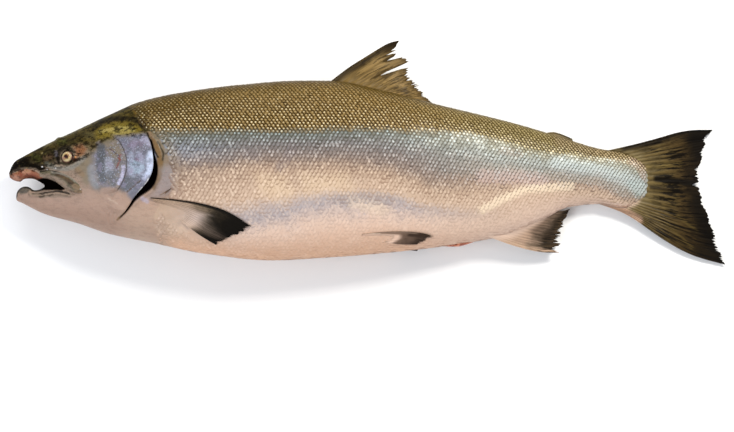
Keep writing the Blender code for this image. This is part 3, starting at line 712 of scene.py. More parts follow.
HEAD_PAINT = (
    area("#c9ab96", 0.85, 12.0, (-226, -50), (-196, -46), (-180, -60), (-180, -115), (-226, -115)),
    area(CROWN, 0.95, 4.0, (-336, -8), (-318, -9), (-298, -9), (-284, 3), (-268, 6), (-252, 11),
         (-240, 13), (-206, 17), (-196, 18), (-196, 60), (-336, 60)),
    area(OLIVE_GREY, 0.6, 4.0, (-262, 12), (-240, 9), (-236, 14), (-250, 18), (-262, 17)),
    area(NAPE, 0.7, 3.5, (-252, 16), (-240, 12), (-204, 18), (-200, 30), (-222, 33), (-244, 29)),
    # A painted highlight: a light grey olive edge along the head's upper profile, where the light catches it.
    stroke(OLIVE_GREY, 0.6, 1.2, (-300, 5.2), (-285, 13.0), (-268, 20.8), (-253, 28)),
    area(UMBER, 0.9, 2.5, (-314, -13), (-318, -7), (-308, -1), (-296, 4), (-284, 5), (-283, -5),
         (-288, -10), (-297, -13)),
    area(UMBER, 0.75, 2.5, (-290, 8), (-280, 4), (-266, 11), (-256, 16), (-262, 19), (-276, 13)),
    stroke(MOSS, 0.5, 2.5, (-307.5, -3.5), (-304, -6)),
    area(NAPE, 0.75, 3.5, (-266, 14), (-250, 15), (-240, 11), (-246, 4), (-254, 1), (-261, 6)),
    stroke(BARK, 0.75, 2.2, (-296.5, -5.5), (-292, -4)),
    stroke(MOSS, 0.6, 2.4, (-284, 9), (-279, 10.5)),
    # A painted glint: a small gold highlight on the wet skin by the nostrils.
    stroke(GOLD_GLINT, 0.8, 0.5, (-299.9, -0.6)),
    area(INK, 1.0, 1.8, (-336, -19), (-329.8, -19.2), (-326.5, -17), (-320.6, -14.6), (-313.7, -13.8),
         (-306, -15), (-299, -19), (-294, -17), (-297, -13), (-304, -10), (-312, -9), (-313, -5),
         (-318, -4), (-326, -4), (-336, -6)),
    area(GUM, 1.0, 0.8, (-330.5, -21), (-326.6, -18.4), (-320.2, -15.8), (-313.7, -14.9),
         (-308.5, -16.3), (-303.3, -19.1), (-299.5, -22), (-300, -27), (-307, -27), (-313.7, -27),
         (-319, -29), (-325.4, -28), (-331, -24)),
    stroke(GUM_PALE, 0.8, 1.6, (-326, -22), (-321, -24.5)),
    stroke(GUM_PALE, 0.7, 1.2, (-319.5, -17.6), (-312, -17)),
    stroke(BLOOD, 0.7, 0.9, (-320.2, -17), (-319.4, -20), (-320.6, -23)),
    stroke(BLOOD, 0.6, 1.0, (-316, -22.4), (-309, -21), (-303, -22.6)),
    stroke(DRIED_BLOOD, 0.7, 0.7, (-313, -23.8), (-307, -23), (-303, -25), (-299, -28)),
    area(LIP, 0.9, 1.2, (-303, -16.6), (-296, -15.4), (-289, -17), (-288, -24), (-299, -23.2)),
    stroke(SOOT, 0.9, 1.5, (-284, -9.6), (-285.6, -3), (-283.4, 2.2), (-278, 4.6), (-272.5, 3)),
    stroke(LID, 0.3, 1.3, (-287.5, 0.6), (-286.8, -2.8)),
    stroke(UMBER, 0.85, 1.1, (-281.6, -9.2), (-276.8, -10.9), (-271.6, -9.4), (-269.6, -5.6)),
    area(RUST, 0.9, 2.5, (-270.5, 5.5), (-263, 7.5), (-258, 3), (-261, -3), (-268, -4.5)),
    stroke(DRIED_BLOOD, 0.85, 1.6, (-269.5, -6.4), (-264.6, -7.8)),
    stroke(AMBER, 0.95, 0.6, (-268.7, -3.9)),
    stroke(RUST, 0.6, 1.0, (-265, 1.5), (-262, 3)),
    area(CHEEK_OLIVE, 0.9, 2.5, (-270, -13), (-261, -5), (-252, 2), (-247, 2), (-248, -10), (-252, -24),
         (-258, -31), (-262, -27), (-265, -20)),
    stroke(STRAW, 0.75, 2.2, (-266.5, -17), (-262, -20.5)),
    stroke(PEWTER, 0.9, 1.7, (-294, -12), (-286.5, -14.2), (-278.1, -15), (-271.6, -13.6),
           (-267.1, -10.3), (-260, -5.4)),
    stroke(SLATE, 0.7, 1.6, (-296, -9.6), (-290, -12)),
    area(CHEEK, 0.9, 4.2, (-254, -3), (-247, 4), (-239, 9), (-231, 10), (-225.5, 3), (-221.5, -8),
         (-222.5, -21), (-227, -31), (-234, -37), (-245, -36), (-254, -32), (-256, -18)),
    stroke(LID, 0.4, 1.8, (-247.5, 9), (-245.6, 4.5), (-248.4, -1), (-250.2, -9)),
    stroke(GRAPHITE, 0.95, 3.4, (-244.5, 4), (-245, -6), (-245, -16), (-243, -25)),
    stroke(FOIL_TEAL, 0.25, 2.4, (-255, -14), (-254, -24), (-250, -31)),
    stroke(FOIL_BLUE_GLINT, 0.35, 3.0, (-238, -8), (-237, -18)),
    stroke(GRAPHITE, 0.6, 1.6, (-247, -6), (-247.6, -15)),
    stroke(ASH, 0.4, 2.6, (-252.4, -13), (-252, -25)),
    area(CHEEK_OLIVE, 0.8, 2.0, (-241, 9), (-231, 9), (-226.5, 2), (-226.5, -4), (-233, -5), (-240, 1)),
    stroke(GRAPHITE, 0.7, 3.0, (-236.5, -20), (-233, -27)),
    stroke(LILAC, 0.85, 1.4, (-223.7, -13), (-224.4, -20), (-228, -28.5)),
    stroke(ROSE, 0.7, 2.4, (-243, -35.5), (-233, -34.6)),
    stroke(DRIED_BLOOD, 0.9, 0.35, (-236.7, 2.6), (-232.7, 0), (-228.3, -2.7)),
    stroke(BLOOD, 0.9, 0.5, (-226.4, -1.8), (-228.4, -4.4), (-226.8, -6.4), (-228.3, -9.6), (-230.6, -14.2)),
    stroke(DRIED_BLOOD, 0.8, 0.4, (-229.6, -13), (-231, -15)),
    area(GILL_COVER, 1.0, 2.6, (-236, 17), (-224, 18), (-206, 17.6), (-199, 14), (-195, 5), (-193, -5),
         (-195, -17), (-199, -27), (-212, -43), (-217, -44), (-222, -37), (-226, -31), (-222.5, -21),
         (-220.8, -10), (-223, 2), (-229, 11)),
    area(GILL_LILAC, 0.8, 4.0, (-219, 13), (-206, 14), (-203, 4), (-208, -3), (-218, 2)),
    area(FOIL_BLUE_GLINT, 0.95, 1.8, (-201.6, 1), (-195, 2), (-195, -10), (-198, -20), (-204, -25.5), (-207, -23),
         (-202.6, -16), (-203, -8)),
    stroke(FOIL_TEAL, 0.7, 2.0, (-216, -9), (-207, -13), (-213, -17)),
    stroke(FOIL_TEAL, 0.7, 1.3, (-216, -13), (-210, -17.4), (-205.6, -14)),
    stroke(MAUVE, 0.7, 1.1, (-212, -6.4), (-209, -7)),
    stroke(MAUVE, 0.4, 2.4, (-217, 7), (-208, 8)),
    stroke(LILAC, 0.45, 2.4, (-206, 12), (-200, 9)),
    stroke(FOIL_BLUE_GLINT, 0.35, 2.2, (-217, -2), (-218, -12), (-216, -22)),
    stroke(FOIL_BLUE_GLINT, 0.35, 2.0, (-210, -1), (-206, -10), (-208, -20)),
    area(GRAPHITE, 0.8, 2.2, (-222, -21), (-211, -24), (-216, -33), (-225, -37), (-229, -34)),
    stroke(BARK, 0.85, 0.5, (-208.5, -25.7), (-213, -29.4), (-220.8, -36.7)),
    # A painted highlight along the gill cover's lower edge.
    stroke(GLINT, 0.9, 0.7, (-200.4, -24.6), (-204.6, -30.6), (-209.4, -35.8), (-214, -42)),
    stroke(ROSE, 0.8, 2.4, (-223, -46), (-229, -40)),
    area(CAP_OLIVE, 0.9, 3.4, (-250, 22), (-240.2, 26), (-232.3, 27), (-220.8, 27.4), (-212, 25),
         (-205.5, 20.6), (-208.5, 17.8), (-218.1, 15.4), (-229.7, 15.2), (-240.2, 13.4), (-249, 11)),
    stroke(CAP_YELLOW, 0.85, 1.6, (-246, 19.5), (-237, 20.5), (-228, 22), (-217, 22.2)),
    stroke(CAP_YELLOW, 0.8, 1.0, (-233, 17.6), (-222, 18.6), (-214, 20)),
    stroke(UMBER, 0.85, 2.0, (-252, 22), (-245, 28), (-234, 31), (-221, 31.5), (-210, 28), (-203.5, 21)),
    stroke(SOOT, 0.8, 1.6, (-212, 31), (-206, 24)),
    stroke(STRAW, 0.9, 1.5, (-200.2, 17), (-198, 12.6)),
    area(COLLAR, 1.0, 0.9, (-199.4, 14), (-195, 12), (-189.6, 2), (-187.4, -9), (-189.4, -24),
         (-195, -34.6), (-198, -34), (-194.4, -27), (-192.4, -18), (-193.4, -8), (-196, 2)),
    stroke(SOOT, 0.95, 0.6, (-202, 17), (-198.7, 10), (-196.6, 4), (-194.8, -1), (-192.6, -4.4)),
    stroke(UMBER, 0.85, 0.6, (-192.2, 9), (-189, 3), (-187.6, -2), (-188, -7)),
    stroke(CHEEK_OLIVE, 0.8, 0.8, (-186.9, -10), (-187.4, -17)),
    area(ASH, 0.55, 4.0, (-190.4, -15), (-186, -12), (-178, -12), (-176, -22), (-177, -32),
         (-183, -37.4), (-190, -41), (-202, -41.6), (-194.6, -34), (-191, -26)),
    # A painted highlight: a pale lilac dab at the lower end of the gill slit.
    stroke(LILAC, 0.5, 1.6, (-206.6, -42.4), (-202.4, -45)),
    stroke(COLLAR, 0.85, 0.5, (-216.5, -47.4), (-221, -53.4), (-227, -59), (-231, -62)),
    stroke(ROSE, 0.7, 0.6, (-240, -39), (-231, -44.4), (-226, -48.4)),
    stroke(ROSE, 0.6, 0.5, (-243, -43), (-233, -49), (-228, -53)),
    stroke(SAND, 0.6, 0.6, (-238, -42.4), (-230, -47)),
    stroke(ROSE, 0.5, 0.6, (-236, -51), (-227, -47)),
    area(LIP, 0.9, 1.2, (-309, -35), (-300, -35), (-277, -34.6), (-270, -39.4), (-276, -41.5),
         (-303, -42), (-311, -39.5)),
    stroke(SOOT, 0.9, 0.5, (-309, -38.4), (-300.7, -37.9), (-294.3, -36.6), (-287.8, -35.9),
           (-281.3, -36.2), (-274.8, -38.2)),
    stroke(UMBER, 0.7, 0.7, (-302, -40.6), (-298, -39.8)),
    stroke(UMBER, 0.6, 0.6, (-293.5, -40), (-290.6, -38.8)),
    stroke(SLATE, 0.85, 2.4, (-319.4, -35.4), (-314.5, -34)),
    stroke(LIP, 0.7, 2.0, (-311, -36.8), (-305, -37.4)),
    stroke(SOOT, 1.0, 1.0, (-325, -42), (-324.3, -38), (-322.4, -34), (-319, -31.4), (-314.8, -30.8),
           (-311.4, -32.2), (-309.2, -34.5), (-304.5, -34.8), (-299.5, -33.2)),
    # Painted highlights: wet glints on the skin under the eye.
    stroke(GLINT, 0.9, 0.35, (-300, -12.6)),
    stroke(GLINT, 0.85, 0.4, (-287.4, -14.3)),
    stroke(GLINT, 0.8, 0.35, (-294.8, -15.9)),
)
print(len(HEAD_PAINT), "patches and strokes")

# %% [markdown]
# The upper jaw bone has its own few strokes: olive grey, with a pale fleshy band along the gape and a tan
# tip. Under all strokes lies a plain ramp from the crown to the throat. Each vertex also gets a "mottle",
# which says how strongly the shader may speckle it: much on the crown, little on the throat.

# %% Lay the paint
JAW_PAINT = (
    area(JAW_OLIVE, 1.0, 3.0, (-306, -12), (-256, -12), (-256, -42), (-306, -42)),
    stroke(BARK, 0.85, 1.6, (-286, -20), (-280.5, -22), (-276, -25.4), (-272, -28)),
    stroke(PEWTER, 0.7, 1.2, (-290, -17.6), (-280, -19.6), (-272.6, -22.4), (-266.4, -27)),
    stroke(STRAW, 0.8, 1.8, (-270, -31), (-264.6, -33.6)),
    stroke(LIP, 0.95, 2.0, (-302, -21.4), (-293.5, -22.4), (-287, -24.8), (-281.6, -28), (-277, -32.2),
           (-272.6, -37), (-265, -39)),
    stroke(STRAW, 0.8, 0.9, (-269, -35.6), (-262.6, -36.8)),
    # A painted highlight: a wet glint at the jaw bone's tip.
    stroke(GLINT, 0.6, 0.4, (-264.2, -33.8)),
    stroke(SOOT, 0.95, 0.9, (-302, -16.8), (-291.7, -15.6), (-285.8, -16.8), (-276.1, -18.8),
           (-271.6, -20.2), (-267.2, -22.6), (-263.8, -25.8)),
    stroke(UMBER, 0.85, 0.6, (-263.4, -26), (-260.9, -30), (-259.8, -35), (-261.5, -38.6)),
)
HEAD_RAMP = (
    (0.0, CROWN), (0.4, CHEEK_OLIVE), (0.6, LIP), (0.74, ROSE), (1.0, ROSE),
)
PIGMENT = 0.72


def masks(x, y, layers):
    """Each layer's linear colour, and how far it covers each place."""
    for kind, tone, strength, width, line in layers:
        if kind == "area":
            mask = soft(depth_inside(x, y, line), -width, width)
        else:
            mask = 1 - soft(line_distance(x, y, line), width * 0.6, width * 1.7 + 0.3)
        yield np.array(linear(tone)[:3]), (mask * strength)[..., None]


def painted(points, layers):
    """The colour of each point, from the plain ramp and the strokes over it."""
    bent = points[:, :2] + 0.45 * np.stack([wobble(points, 2.2, 5), wobble(points, 2.2, 6)], -1)
    bent += 0.5 * np.stack([wobble(points, 6.0, 7), wobble(points, 6.0, 8)], -1)
    x, y = bent.T
    places, tones = zip(*HEAD_RAMP)
    number = np.clip(band(x, y) + 0.02 * wobble(points, 5.0, 9), 0, 1)
    stops = np.array([linear(tone)[:3] for tone in tones])
    colour = np.stack([np.interp(number, places, stops[:, i]) for i in range(3)], -1)
    for tone, mask in masks(x, y, layers):
        colour += (tone - colour) * mask
    return colour * (PIGMENT + (1 - PIGMENT) * soft(colour.mean(-1), 0.45, 0.75))[..., None]


def patch_tone(x, y, layers):
    """Colour and cover of painted patches at each place: red, green, blue, cover."""
    laid, cover = np.zeros(x.shape + (3,)), np.zeros(x.shape + (1,))
    for tone, mask in masks(x, y, layers):
        laid += (tone - laid) * mask
        cover += (1 - cover) * mask
    return np.concatenate([laid / np.maximum(cover, 1e-4), cover], -1)


def store_tone(mesh, values):
    layer = mesh.attributes.new("tone", "FLOAT_COLOR", "POINT")
    layer.data.foreach_set("color", values.reshape(-1, 4).astype(np.float32).ravel())


CROWN_LINE = ((-331, -22), (-300, -16), (-262, -8), (-240, 10), (-190, 14))
FOIL_TOP = ((-262, -4), (-246, 3), (-235, 9), (-222, 15), (-190, 17))


def paint(mesh, layers=HEAD_PAINT, shaded_cavities=True):
    """Stores on a piece of skin its colour and the numbers that its shader reads."""
    points = vertex_array(mesh)
    x, y, z = points.T
    store(mesh, "band", band(x, y))
    store(mesh, "along", along(x))
    on_head = head_share(x, y)
    store(mesh, "head", on_head)
    tone = np.ones((len(points), 4))
    near = on_head > 0
    tone[near, :3] = painted(points[near], layers)
    store_tone(mesh, tone)
    crown = soft(y - through(CROWN_LINE, x), -3, 4)
    chin = soft(-x, 258, 270) * soft(y, -42, -38)
    store(mesh, "mottle", np.clip(0.12 + 0.88 * crown + 0.35 * chin, 0, 1))
    foil = soft(depth_inside(x, y, CHEEK_FRONT + COVER_EDGE[::-1]), -2, 4)
    foil = foil * soft(y + 0.2 * (x + 225), -38, -30) * (1 - soft(y - through(FOIL_TOP, x), -4, 1))
    store(mesh, "foil", foil)
    # Painted shade: the mouth's pocket and the gill slit are marked, and the shader paints them near black.
    deep = np.zeros(len(points))
    if shaded_cavities:
        deep = soft(depth_inside(x, y, MOUTH_POCKET), -0.6, 0.6)
        deep = np.maximum(deep, soft(depth_inside(x, y, GILL_SLIT), -0.9, 0.3))
    store(mesh, "cavity_shade", deep)


def dress(piece, node="salmon"):
    """Makes a piece stand in for a node of the solid model, on the fish's one body."""
    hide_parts(node)
    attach(piece, "root")
    return piece


for part in (head, trunk):
    paint(part.data)
    dress(part)
print("the skin carries", [layer.name for layer in head.data.attributes][-8:])

# %% [markdown]
# ## Salmon skin as a material
#
# The bare skin of a salmon is thin, wet and partly metallic: crystals of guanine lie in it like foil, over
# pink flesh. So the shader has some metallic where the foil shows, a thin coat for the water, and mottling
# at three sizes: blotches 7 mm across, streaks of 3 mm and grain of 1.3 mm. The body's colours come from
# three ramps over the band number, one each for the front, the middle and the rear of the fish, blended
# along its length.
# Where the foil shows, its pale specks are painted glints.

# %% Colour ramps of the body
OLIVE_RIDGE, OLIVE, OLIVE_PALE = "#57431a", "#776036", "#7e7048"
STEEL_EDGE, STEEL, SMOKE, FROST = "#5c5c54", "#7c818d", "#676261", "#8f918b"
DUSK, TAN, CREAM = "#7b6b61", "#a38a76", "#bfa58f"
ASH_SEAM, SHELL, SHELL_EDGE = "#a39a9c", "#d8bcaa", "#d8ac8c"
FRONT_RAMP = (
    (0.0, OLIVE_RIDGE), (0.12, OLIVE_RIDGE), (0.27, OLIVE), (0.33, STEEL_EDGE), (0.42, STEEL), (0.58, DUSK),
    (0.71, TAN), (0.88, CREAM), (1.0, SHELL_EDGE),
)
MIDDLE_RAMP = (
    (0.0, OLIVE_RIDGE), (0.06, OLIVE), (0.27, OLIVE), (0.32, STEEL_EDGE), (0.42, SMOKE), (0.54, DUSK),
    (0.63, TAN), (0.72, CREAM), (0.79, ASH_SEAM), (0.87, SHELL), (1.0, SHELL_EDGE),
)
REAR_RAMP = (
    (0.0, OLIVE_PALE), (0.26, OLIVE_PALE), (0.37, FROST), (0.50, TAN), (0.68, CREAM), (1.0, SHELL),
)
FRONT_TO_MIDDLE, MIDDLE_TO_REAR = (0.22, 0.38), (0.58, 0.80)  # where one ramp gives way to the next


def maths(tree, operation, *values, **settings):
    """The result of one Math node."""
    return add(tree, "ShaderNodeMath", dict(enumerate(values)), operation=operation, **settings).outputs[0]


def remap(tree, value, low, high, to_low=0.0, to_high=1.0, smooth=False):
    """value with its range from low to high carried over to another range, and held at the ends."""
    ends = {0: value, 1: low, 2: high, 3: to_low, 4: to_high}
    kind = "SMOOTHSTEP" if smooth else "LINEAR"
    return add(tree, "ShaderNodeMapRange", ends, interpolation_type=kind).outputs[0]


def ramp(tree, place, stops):
    return add(tree, "ShaderNodeValToRGB", {0: place}, stops).outputs[0]


def mixed(tree, factor, first, second):
    return add(tree, "ShaderNodeMix", {0: factor, 6: first, 7: second}, data_type="RGBA").outputs[2]


def read(tree, name, output="Fac"):
    """What is stored on the mesh under a name."""
    return add(tree, "ShaderNodeAttribute", attribute_name=name).outputs[output]


def noise(tree, size, stretch=(1, 1, 1)):
    """Noise over the piece whose features are about size millimetres across."""
    place = add(tree, "ShaderNodeTexCoord").outputs["Object"]
    place = add(tree, "ShaderNodeMapping", {"Vector": place, "Scale": stretch}).outputs[0]
    look = {"Vector": place, "Scale": 1 / (size * MM), "Detail": 3.0, "Roughness": 0.6}
    return add(tree, "ShaderNodeTexNoise", look).outputs["Fac"]


def bump(tree, height, strength, depth, below=None):
    """A bump of so many millimetres, over another bump where one is given."""
    look = {"Height": height, "Strength": strength, "Distance": depth * MM}
    if below:
        look["Normal"] = below
    return add(tree, "ShaderNodeBump", look).outputs[0]


def body_colour(tree, number):
    """The body's colour from the band number and the share of its length."""
    gone = read(tree, "along")
    front, middle, rear = (ramp(tree, number, stops) for stops in (FRONT_RAMP, MIDDLE_RAMP, REAR_RAMP))
    blend = mixed(tree, remap(tree, gone, *FRONT_TO_MIDDLE, smooth=True), front, middle)
    return mixed(tree, remap(tree, gone, *MIDDLE_TO_REAR, smooth=True), blend, rear)


print(len(FRONT_RAMP) + len(MIDDLE_RAMP) + len(REAR_RAMP), "colour stops")

# %% The skin's shader
def speckled(tree, tone, share, specks):
    """Lays specks over a colour: where a field runs from low to high they reach their strength."""
    for field, low, high, strength, speck in specks:
        here = maths(tree, "MULTIPLY", remap(tree, field, low, high, 0.0, strength, smooth=True), share)
        tone = mixed(tree, here, tone, linear(speck))
    return tone


def make_skin_material(tree, shader):
    blotches, grain, streaks = noise(tree, 7.0), noise(tree, 1.3), noise(tree, 3.2, (0.45, 1, 1))
    mottle, foil, cavity_shade = (read(tree, name) for name in ("mottle", "foil", "cavity_shade"))
    number = maths(tree, "ADD", read(tree, "band"), maths(tree, "MULTIPLY_ADD", blotches, 0.16, -0.08))
    body = body_colour(tree, number)
    tone = speckled(tree, read(tree, "tone", "Color"), mottle, (
        (streaks, 0.52, 0.38, 0.85, "#0e0a04"), (streaks, 0.58, 0.74, 0.35, "#7c6c38"),
        (grain, 0.47, 0.34, 0.70, "#120c05"), (grain, 0.62, 0.76, 0.22, "#a3946a"),
    ))
    # On the foil the dark specks are its grain, and the pale blue specks are painted glints.
    tone = speckled(tree, tone, foil, (
        (streaks, 0.52, 0.36, 0.45, "#4f5058"), (grain, 0.48, 0.36, 0.30, "#565c6e"),
        (grain, 0.54, 0.68, 0.32, "#bccae4"), (blotches, 0.5, 0.66, 0.35, "#8a8298"),
    ))
    colour = mixed(tree, read(tree, "head"), body, tone)
    gloss = remap(tree, cavity_shade, 0.0, 1.0, remap(tree, mottle, 0.2, 0.9, 0.14, 0.02), 0.0)
    feed(tree, shader, {
        # Painted shade: the mouth's pocket and the gill slit turn near black.
        "Base Color": mixed(tree, cavity_shade, colour, linear("#060302")),
        "Roughness": remap(tree, blotches, 0.3, 0.7, 0.34, 0.5),
        "Metallic": maths(tree, "MULTIPLY", foil, 0.18),
        "Specular IOR Level": gloss,
        "Coat Weight": maths(tree, "MULTIPLY", gloss, 0.2),
        "Coat Roughness": 0.12,
        "Normal": bump(tree, streaks, 0.18, 0.6, below=bump(tree, grain, 0.3, 0.4)),
        "Subsurface Weight": 0.06,
        "Subsurface Radius": (1.0, 0.4, 0.25),
        "Subsurface Scale": 1.5 * MM,
    })


def make_lining_material(tree, shader):
    """The mouth's lining is slick, with blotches from near black to red-brown."""
    tone = ramp(tree, noise(tree, 3.0), ((0.35, "#1c0f0b"), (0.55, "#5c3527"), (0.7, "#8a5b48")))
    feed(tree, shader, {"Base Color": tone, "Roughness": 0.3, "Coat Weight": 0.5,
                        "Normal": bump(tree, noise(tree, 1.5), 0.5, 0.5)})


make_skin_material(*skin_nodes)
make_lining_material(*lining_nodes)
print(salmon_skin.name, "has", len(salmon_skin.node_tree.nodes), "nodes")

# %% [markdown]
# ## Bone plates that lie over the skin
#
# The gill cover and the cheek plate are thin bones with a free rear edge. A relief in the skin would blur
# that edge, so each is a slab of its own whose grid runs along the edge. It rises out of the skin at its
# front, where it is joined, and stands free at its rear, over the dark slit.

# %% Gill covers, cheek plates and upper jaw bones
PLATE_THICKNESS = 1.3
JAW_ROUNDING, JAW_SUNK, JAW_UNDERSIDE = 1.7, 0.4, -1.6


def bone(name, x, y, side, outer, inner, layers=HEAD_PAINT):
    """A painted slab over the flank, between two heights above the plain body."""
    made = slab(name, lifted(x, y, side, outer), lifted(x, y, side, inner))
    made.materials.append(salmon_skin)
    paint(made, layers, shaded_cavities=False)
    return dress(new_object(name, made))


def plate(name, front, rear, side, lift, rows, columns):
    """A bone between a front line, sunk in the skin, and a free rear line, where it is thinner.

    lift is a function of the shares from front to rear and from top to bottom.
    """
    across, down = np.meshgrid(np.linspace(0, 1, columns), np.linspace(0, 1, rows))
    ahead, behind = on_line(front, down[:, 0]), on_line(rear, down[:, 0])
    spot = ahead[:, None] * (1 - across[..., None]) + behind[:, None] * across[..., None]
    outer = lift(across, down)
    inner = outer - (PLATE_THICKNESS - 0.8 * soft(across, 0.9, 1.0))
    return bone(name, spot[..., 0], spot[..., 1], side, outer, inner)


def ends_sunk(down, reach=0.07):
    """1 along most of a plate, 0 at its top and bottom ends."""
    return soft(down, 0, reach) * (1 - soft(down, 1 - reach, 1))


def cover_lift(across, down):
    bulge = 1.5 * np.sin(np.clip(across * 1.25, 0, 1) * math.pi / 2) * ends_sunk(down)
    curl = 0.5 * soft(across, 0.95, 1.0)
    return bulge - 0.6 * (1 - soft(across, 0, 0.12)) - 0.5 * (1 - ends_sunk(down)) - curl


def cheek_lift(across, down):
    bulge = 1.7 * soft(across, 0.0, 0.9) * ends_sunk(down, 0.2)
    return bulge - 0.5 * (1 - soft(across, 0, 0.1)) - 0.5 * (1 - ends_sunk(down, 0.2))


def jaw_bone(name, side, rows=20, columns=70):
    """The long upper jaw bone: a rounded bar along its own middle line, wider behind."""
    share = np.linspace(0, 1, columns)
    middle = on_line(rounded(UPPER_JAW_MIDDLE), share)
    heading = np.gradient(middle, axis=0)
    heading /= np.linalg.norm(heading, axis=1, keepdims=True)
    sideways = np.stack([-heading[:, 1], heading[:, 0]], axis=-1)
    reach = np.interp(share, np.linspace(0, 1, len(UPPER_JAW_REACH)), UPPER_JAW_REACH)
    reach *= np.sqrt(np.clip(1 - soft(share, 0.9, 1.0) ** 2 * 0.9, 0, 1))
    across = np.linspace(-1, 1, rows)[:, None]
    spot = middle[None] + sideways[None] * (across * reach)[..., None]
    arch = np.sqrt(np.clip(1 - across**2, 0, 1)) * (0.5 + 0.5 * soft(share, 0, 0.2))
    inner = np.full(spot.shape[:2], JAW_UNDERSIDE)
    return bone(name, spot[..., 0], spot[..., 1], side, JAW_ROUNDING * arch - JAW_SUNK, inner, JAW_PAINT)


for side, word in ((1, "left"), (-1, "right")):
    plate(f"{word}_gill_cover", COVER_FRONT, COVER_EDGE, side, cover_lift, 110, 44)
    plate(f"{word}_cheek_plate", CHEEK_FRONT, CHEEK_EDGE, side, cheek_lift, 90, 40)
    jaw_bone(f"{word}_upper_jaw", side)

# %% [markdown]
# ## One scale
#
# A salmon's scales are thin overlapping discs. What shows of each is its rounded rear end, brightest in its
# middle, with a darker rim in the back's dark skin. One scale here is a low dome of twelve rim points: the
# front dips under the scale before it, and the rear edge stands just clear of the scale behind. Its map puts
# every scale in a small square of its own, so that a baked picture can hold them all.

# %% The scale that will be repeated
SCALE_PITCH = 3.7
ROW_STEP = 3.4
SCALE_LENGTH, SCALE_WIDTH = 6.0, 6.4
SCALE_RISE, SCALE_TUCK, SCALE_CROWN = 0.34, 0.16, 0.07


RIM_POINTS = 12
CROWN_AT, ROOT_AT, ROOT_DEPTH = 1.0, 0.2, 0.35
CHART_MIDDLE, CHART_SHARE = 0.46, 0.84  # the scale's upper face in its square of the map
UNDER_MIDDLE, UNDER_SHARE = 0.95, 0.008  # its hidden face, small in the square's corner


def make_scale():
    turn = np.linspace(0, 2 * math.pi, RIM_POINTS, endpoint=False)
    x = np.cos(turn) * SCALE_LENGTH / 2
    y = np.sin(turn) * SCALE_WIDTH / 2 * (1 - 0.10 * np.cos(turn))

    def slope(place):
        return -SCALE_TUCK + (SCALE_TUCK + SCALE_RISE) * (place / SCALE_LENGTH + 0.5)

    z = slope(x) - 0.05 * np.abs(np.sin(turn))
    shape = bmesh.new()
    rim = [shape.verts.new((a * MM, b * MM, c * MM)) for a, b, c in zip(x, y, z)]
    crown = shape.verts.new((CROWN_AT * MM, 0, (slope(CROWN_AT) + SCALE_CROWN) * MM))
    root = shape.verts.new((ROOT_AT * MM, 0, (slope(ROOT_AT) - ROOT_DEPTH) * MM))
    chart = shape.loops.layers.uv.new("scale_chart")
    for i, start in enumerate(rim):
        end = rim[(i + 1) % len(rim)]
        upper, lower = shape.faces.new((start, end, crown)), shape.faces.new((end, start, root))
        for loop in upper.loops:
            loop[chart].uv = [CHART_MIDDLE + v / MM / SCALE_LENGTH * CHART_SHARE for v in loop.vert.co.xy]
        for loop in lower.loops:
            loop[chart].uv = [UNDER_MIDDLE + v / MM * UNDER_SHARE for v in loop.vert.co.xy]
        upper.smooth = True
        shape.edges.get((start, end)).smooth = False
    mesh = bpy.data.meshes.new("one_scale")
    shape.to_mesh(mesh)
    shape.free()
    store(mesh, "rim", [1.0] * RIM_POINTS + [0.0, 1.0])
    store(mesh, "low", [*(0.5 - 0.5 * np.sin(turn)), 0.5, 0.5])
    return new_object("one_scale", mesh)


one_scale = make_scale()
print("one scale has", triangles(one_scale.data), "triangles")

# %% [markdown]
# ## The flank as a flat map
#
# Scale rows run parallel to the lateral line, the row of pores along the middle of each flank. To lay them
# out the flank is given a flat map: across it is X, and up it is the length of skin between a point and the
# lateral line. A straight lattice on that map becomes bent rows on the fish, and rows drop out by
# themselves where the body narrows, just as they do on a real one.

# %% A guide sheet for each flank
LATERAL_LINE = ((-226, 8), (-190, 7), (-118, 4.4), (8, 1), (112, -8.5), (177, -17), (250, -27))
LAST_SCALES = ((-56, 238), (-45, 245), (-40, 257), (-25, 259), (-14, 258), (-7, 251), (4, 224))  # (Y, X)
MAP_SIZE = 600.0
SHEET_STEP, SHEET_ROWS = 3.0, 90
SCALED_FROM, SCALED_TO = -226.0, 260.0


FIN_BASE = ((-202, -40), (-176, -43), (-152, -47), (-136, -53), (-128, -62), (-138, -76), (-152, -82),
            (-170, -74), (-186, -62), (-198, -51))


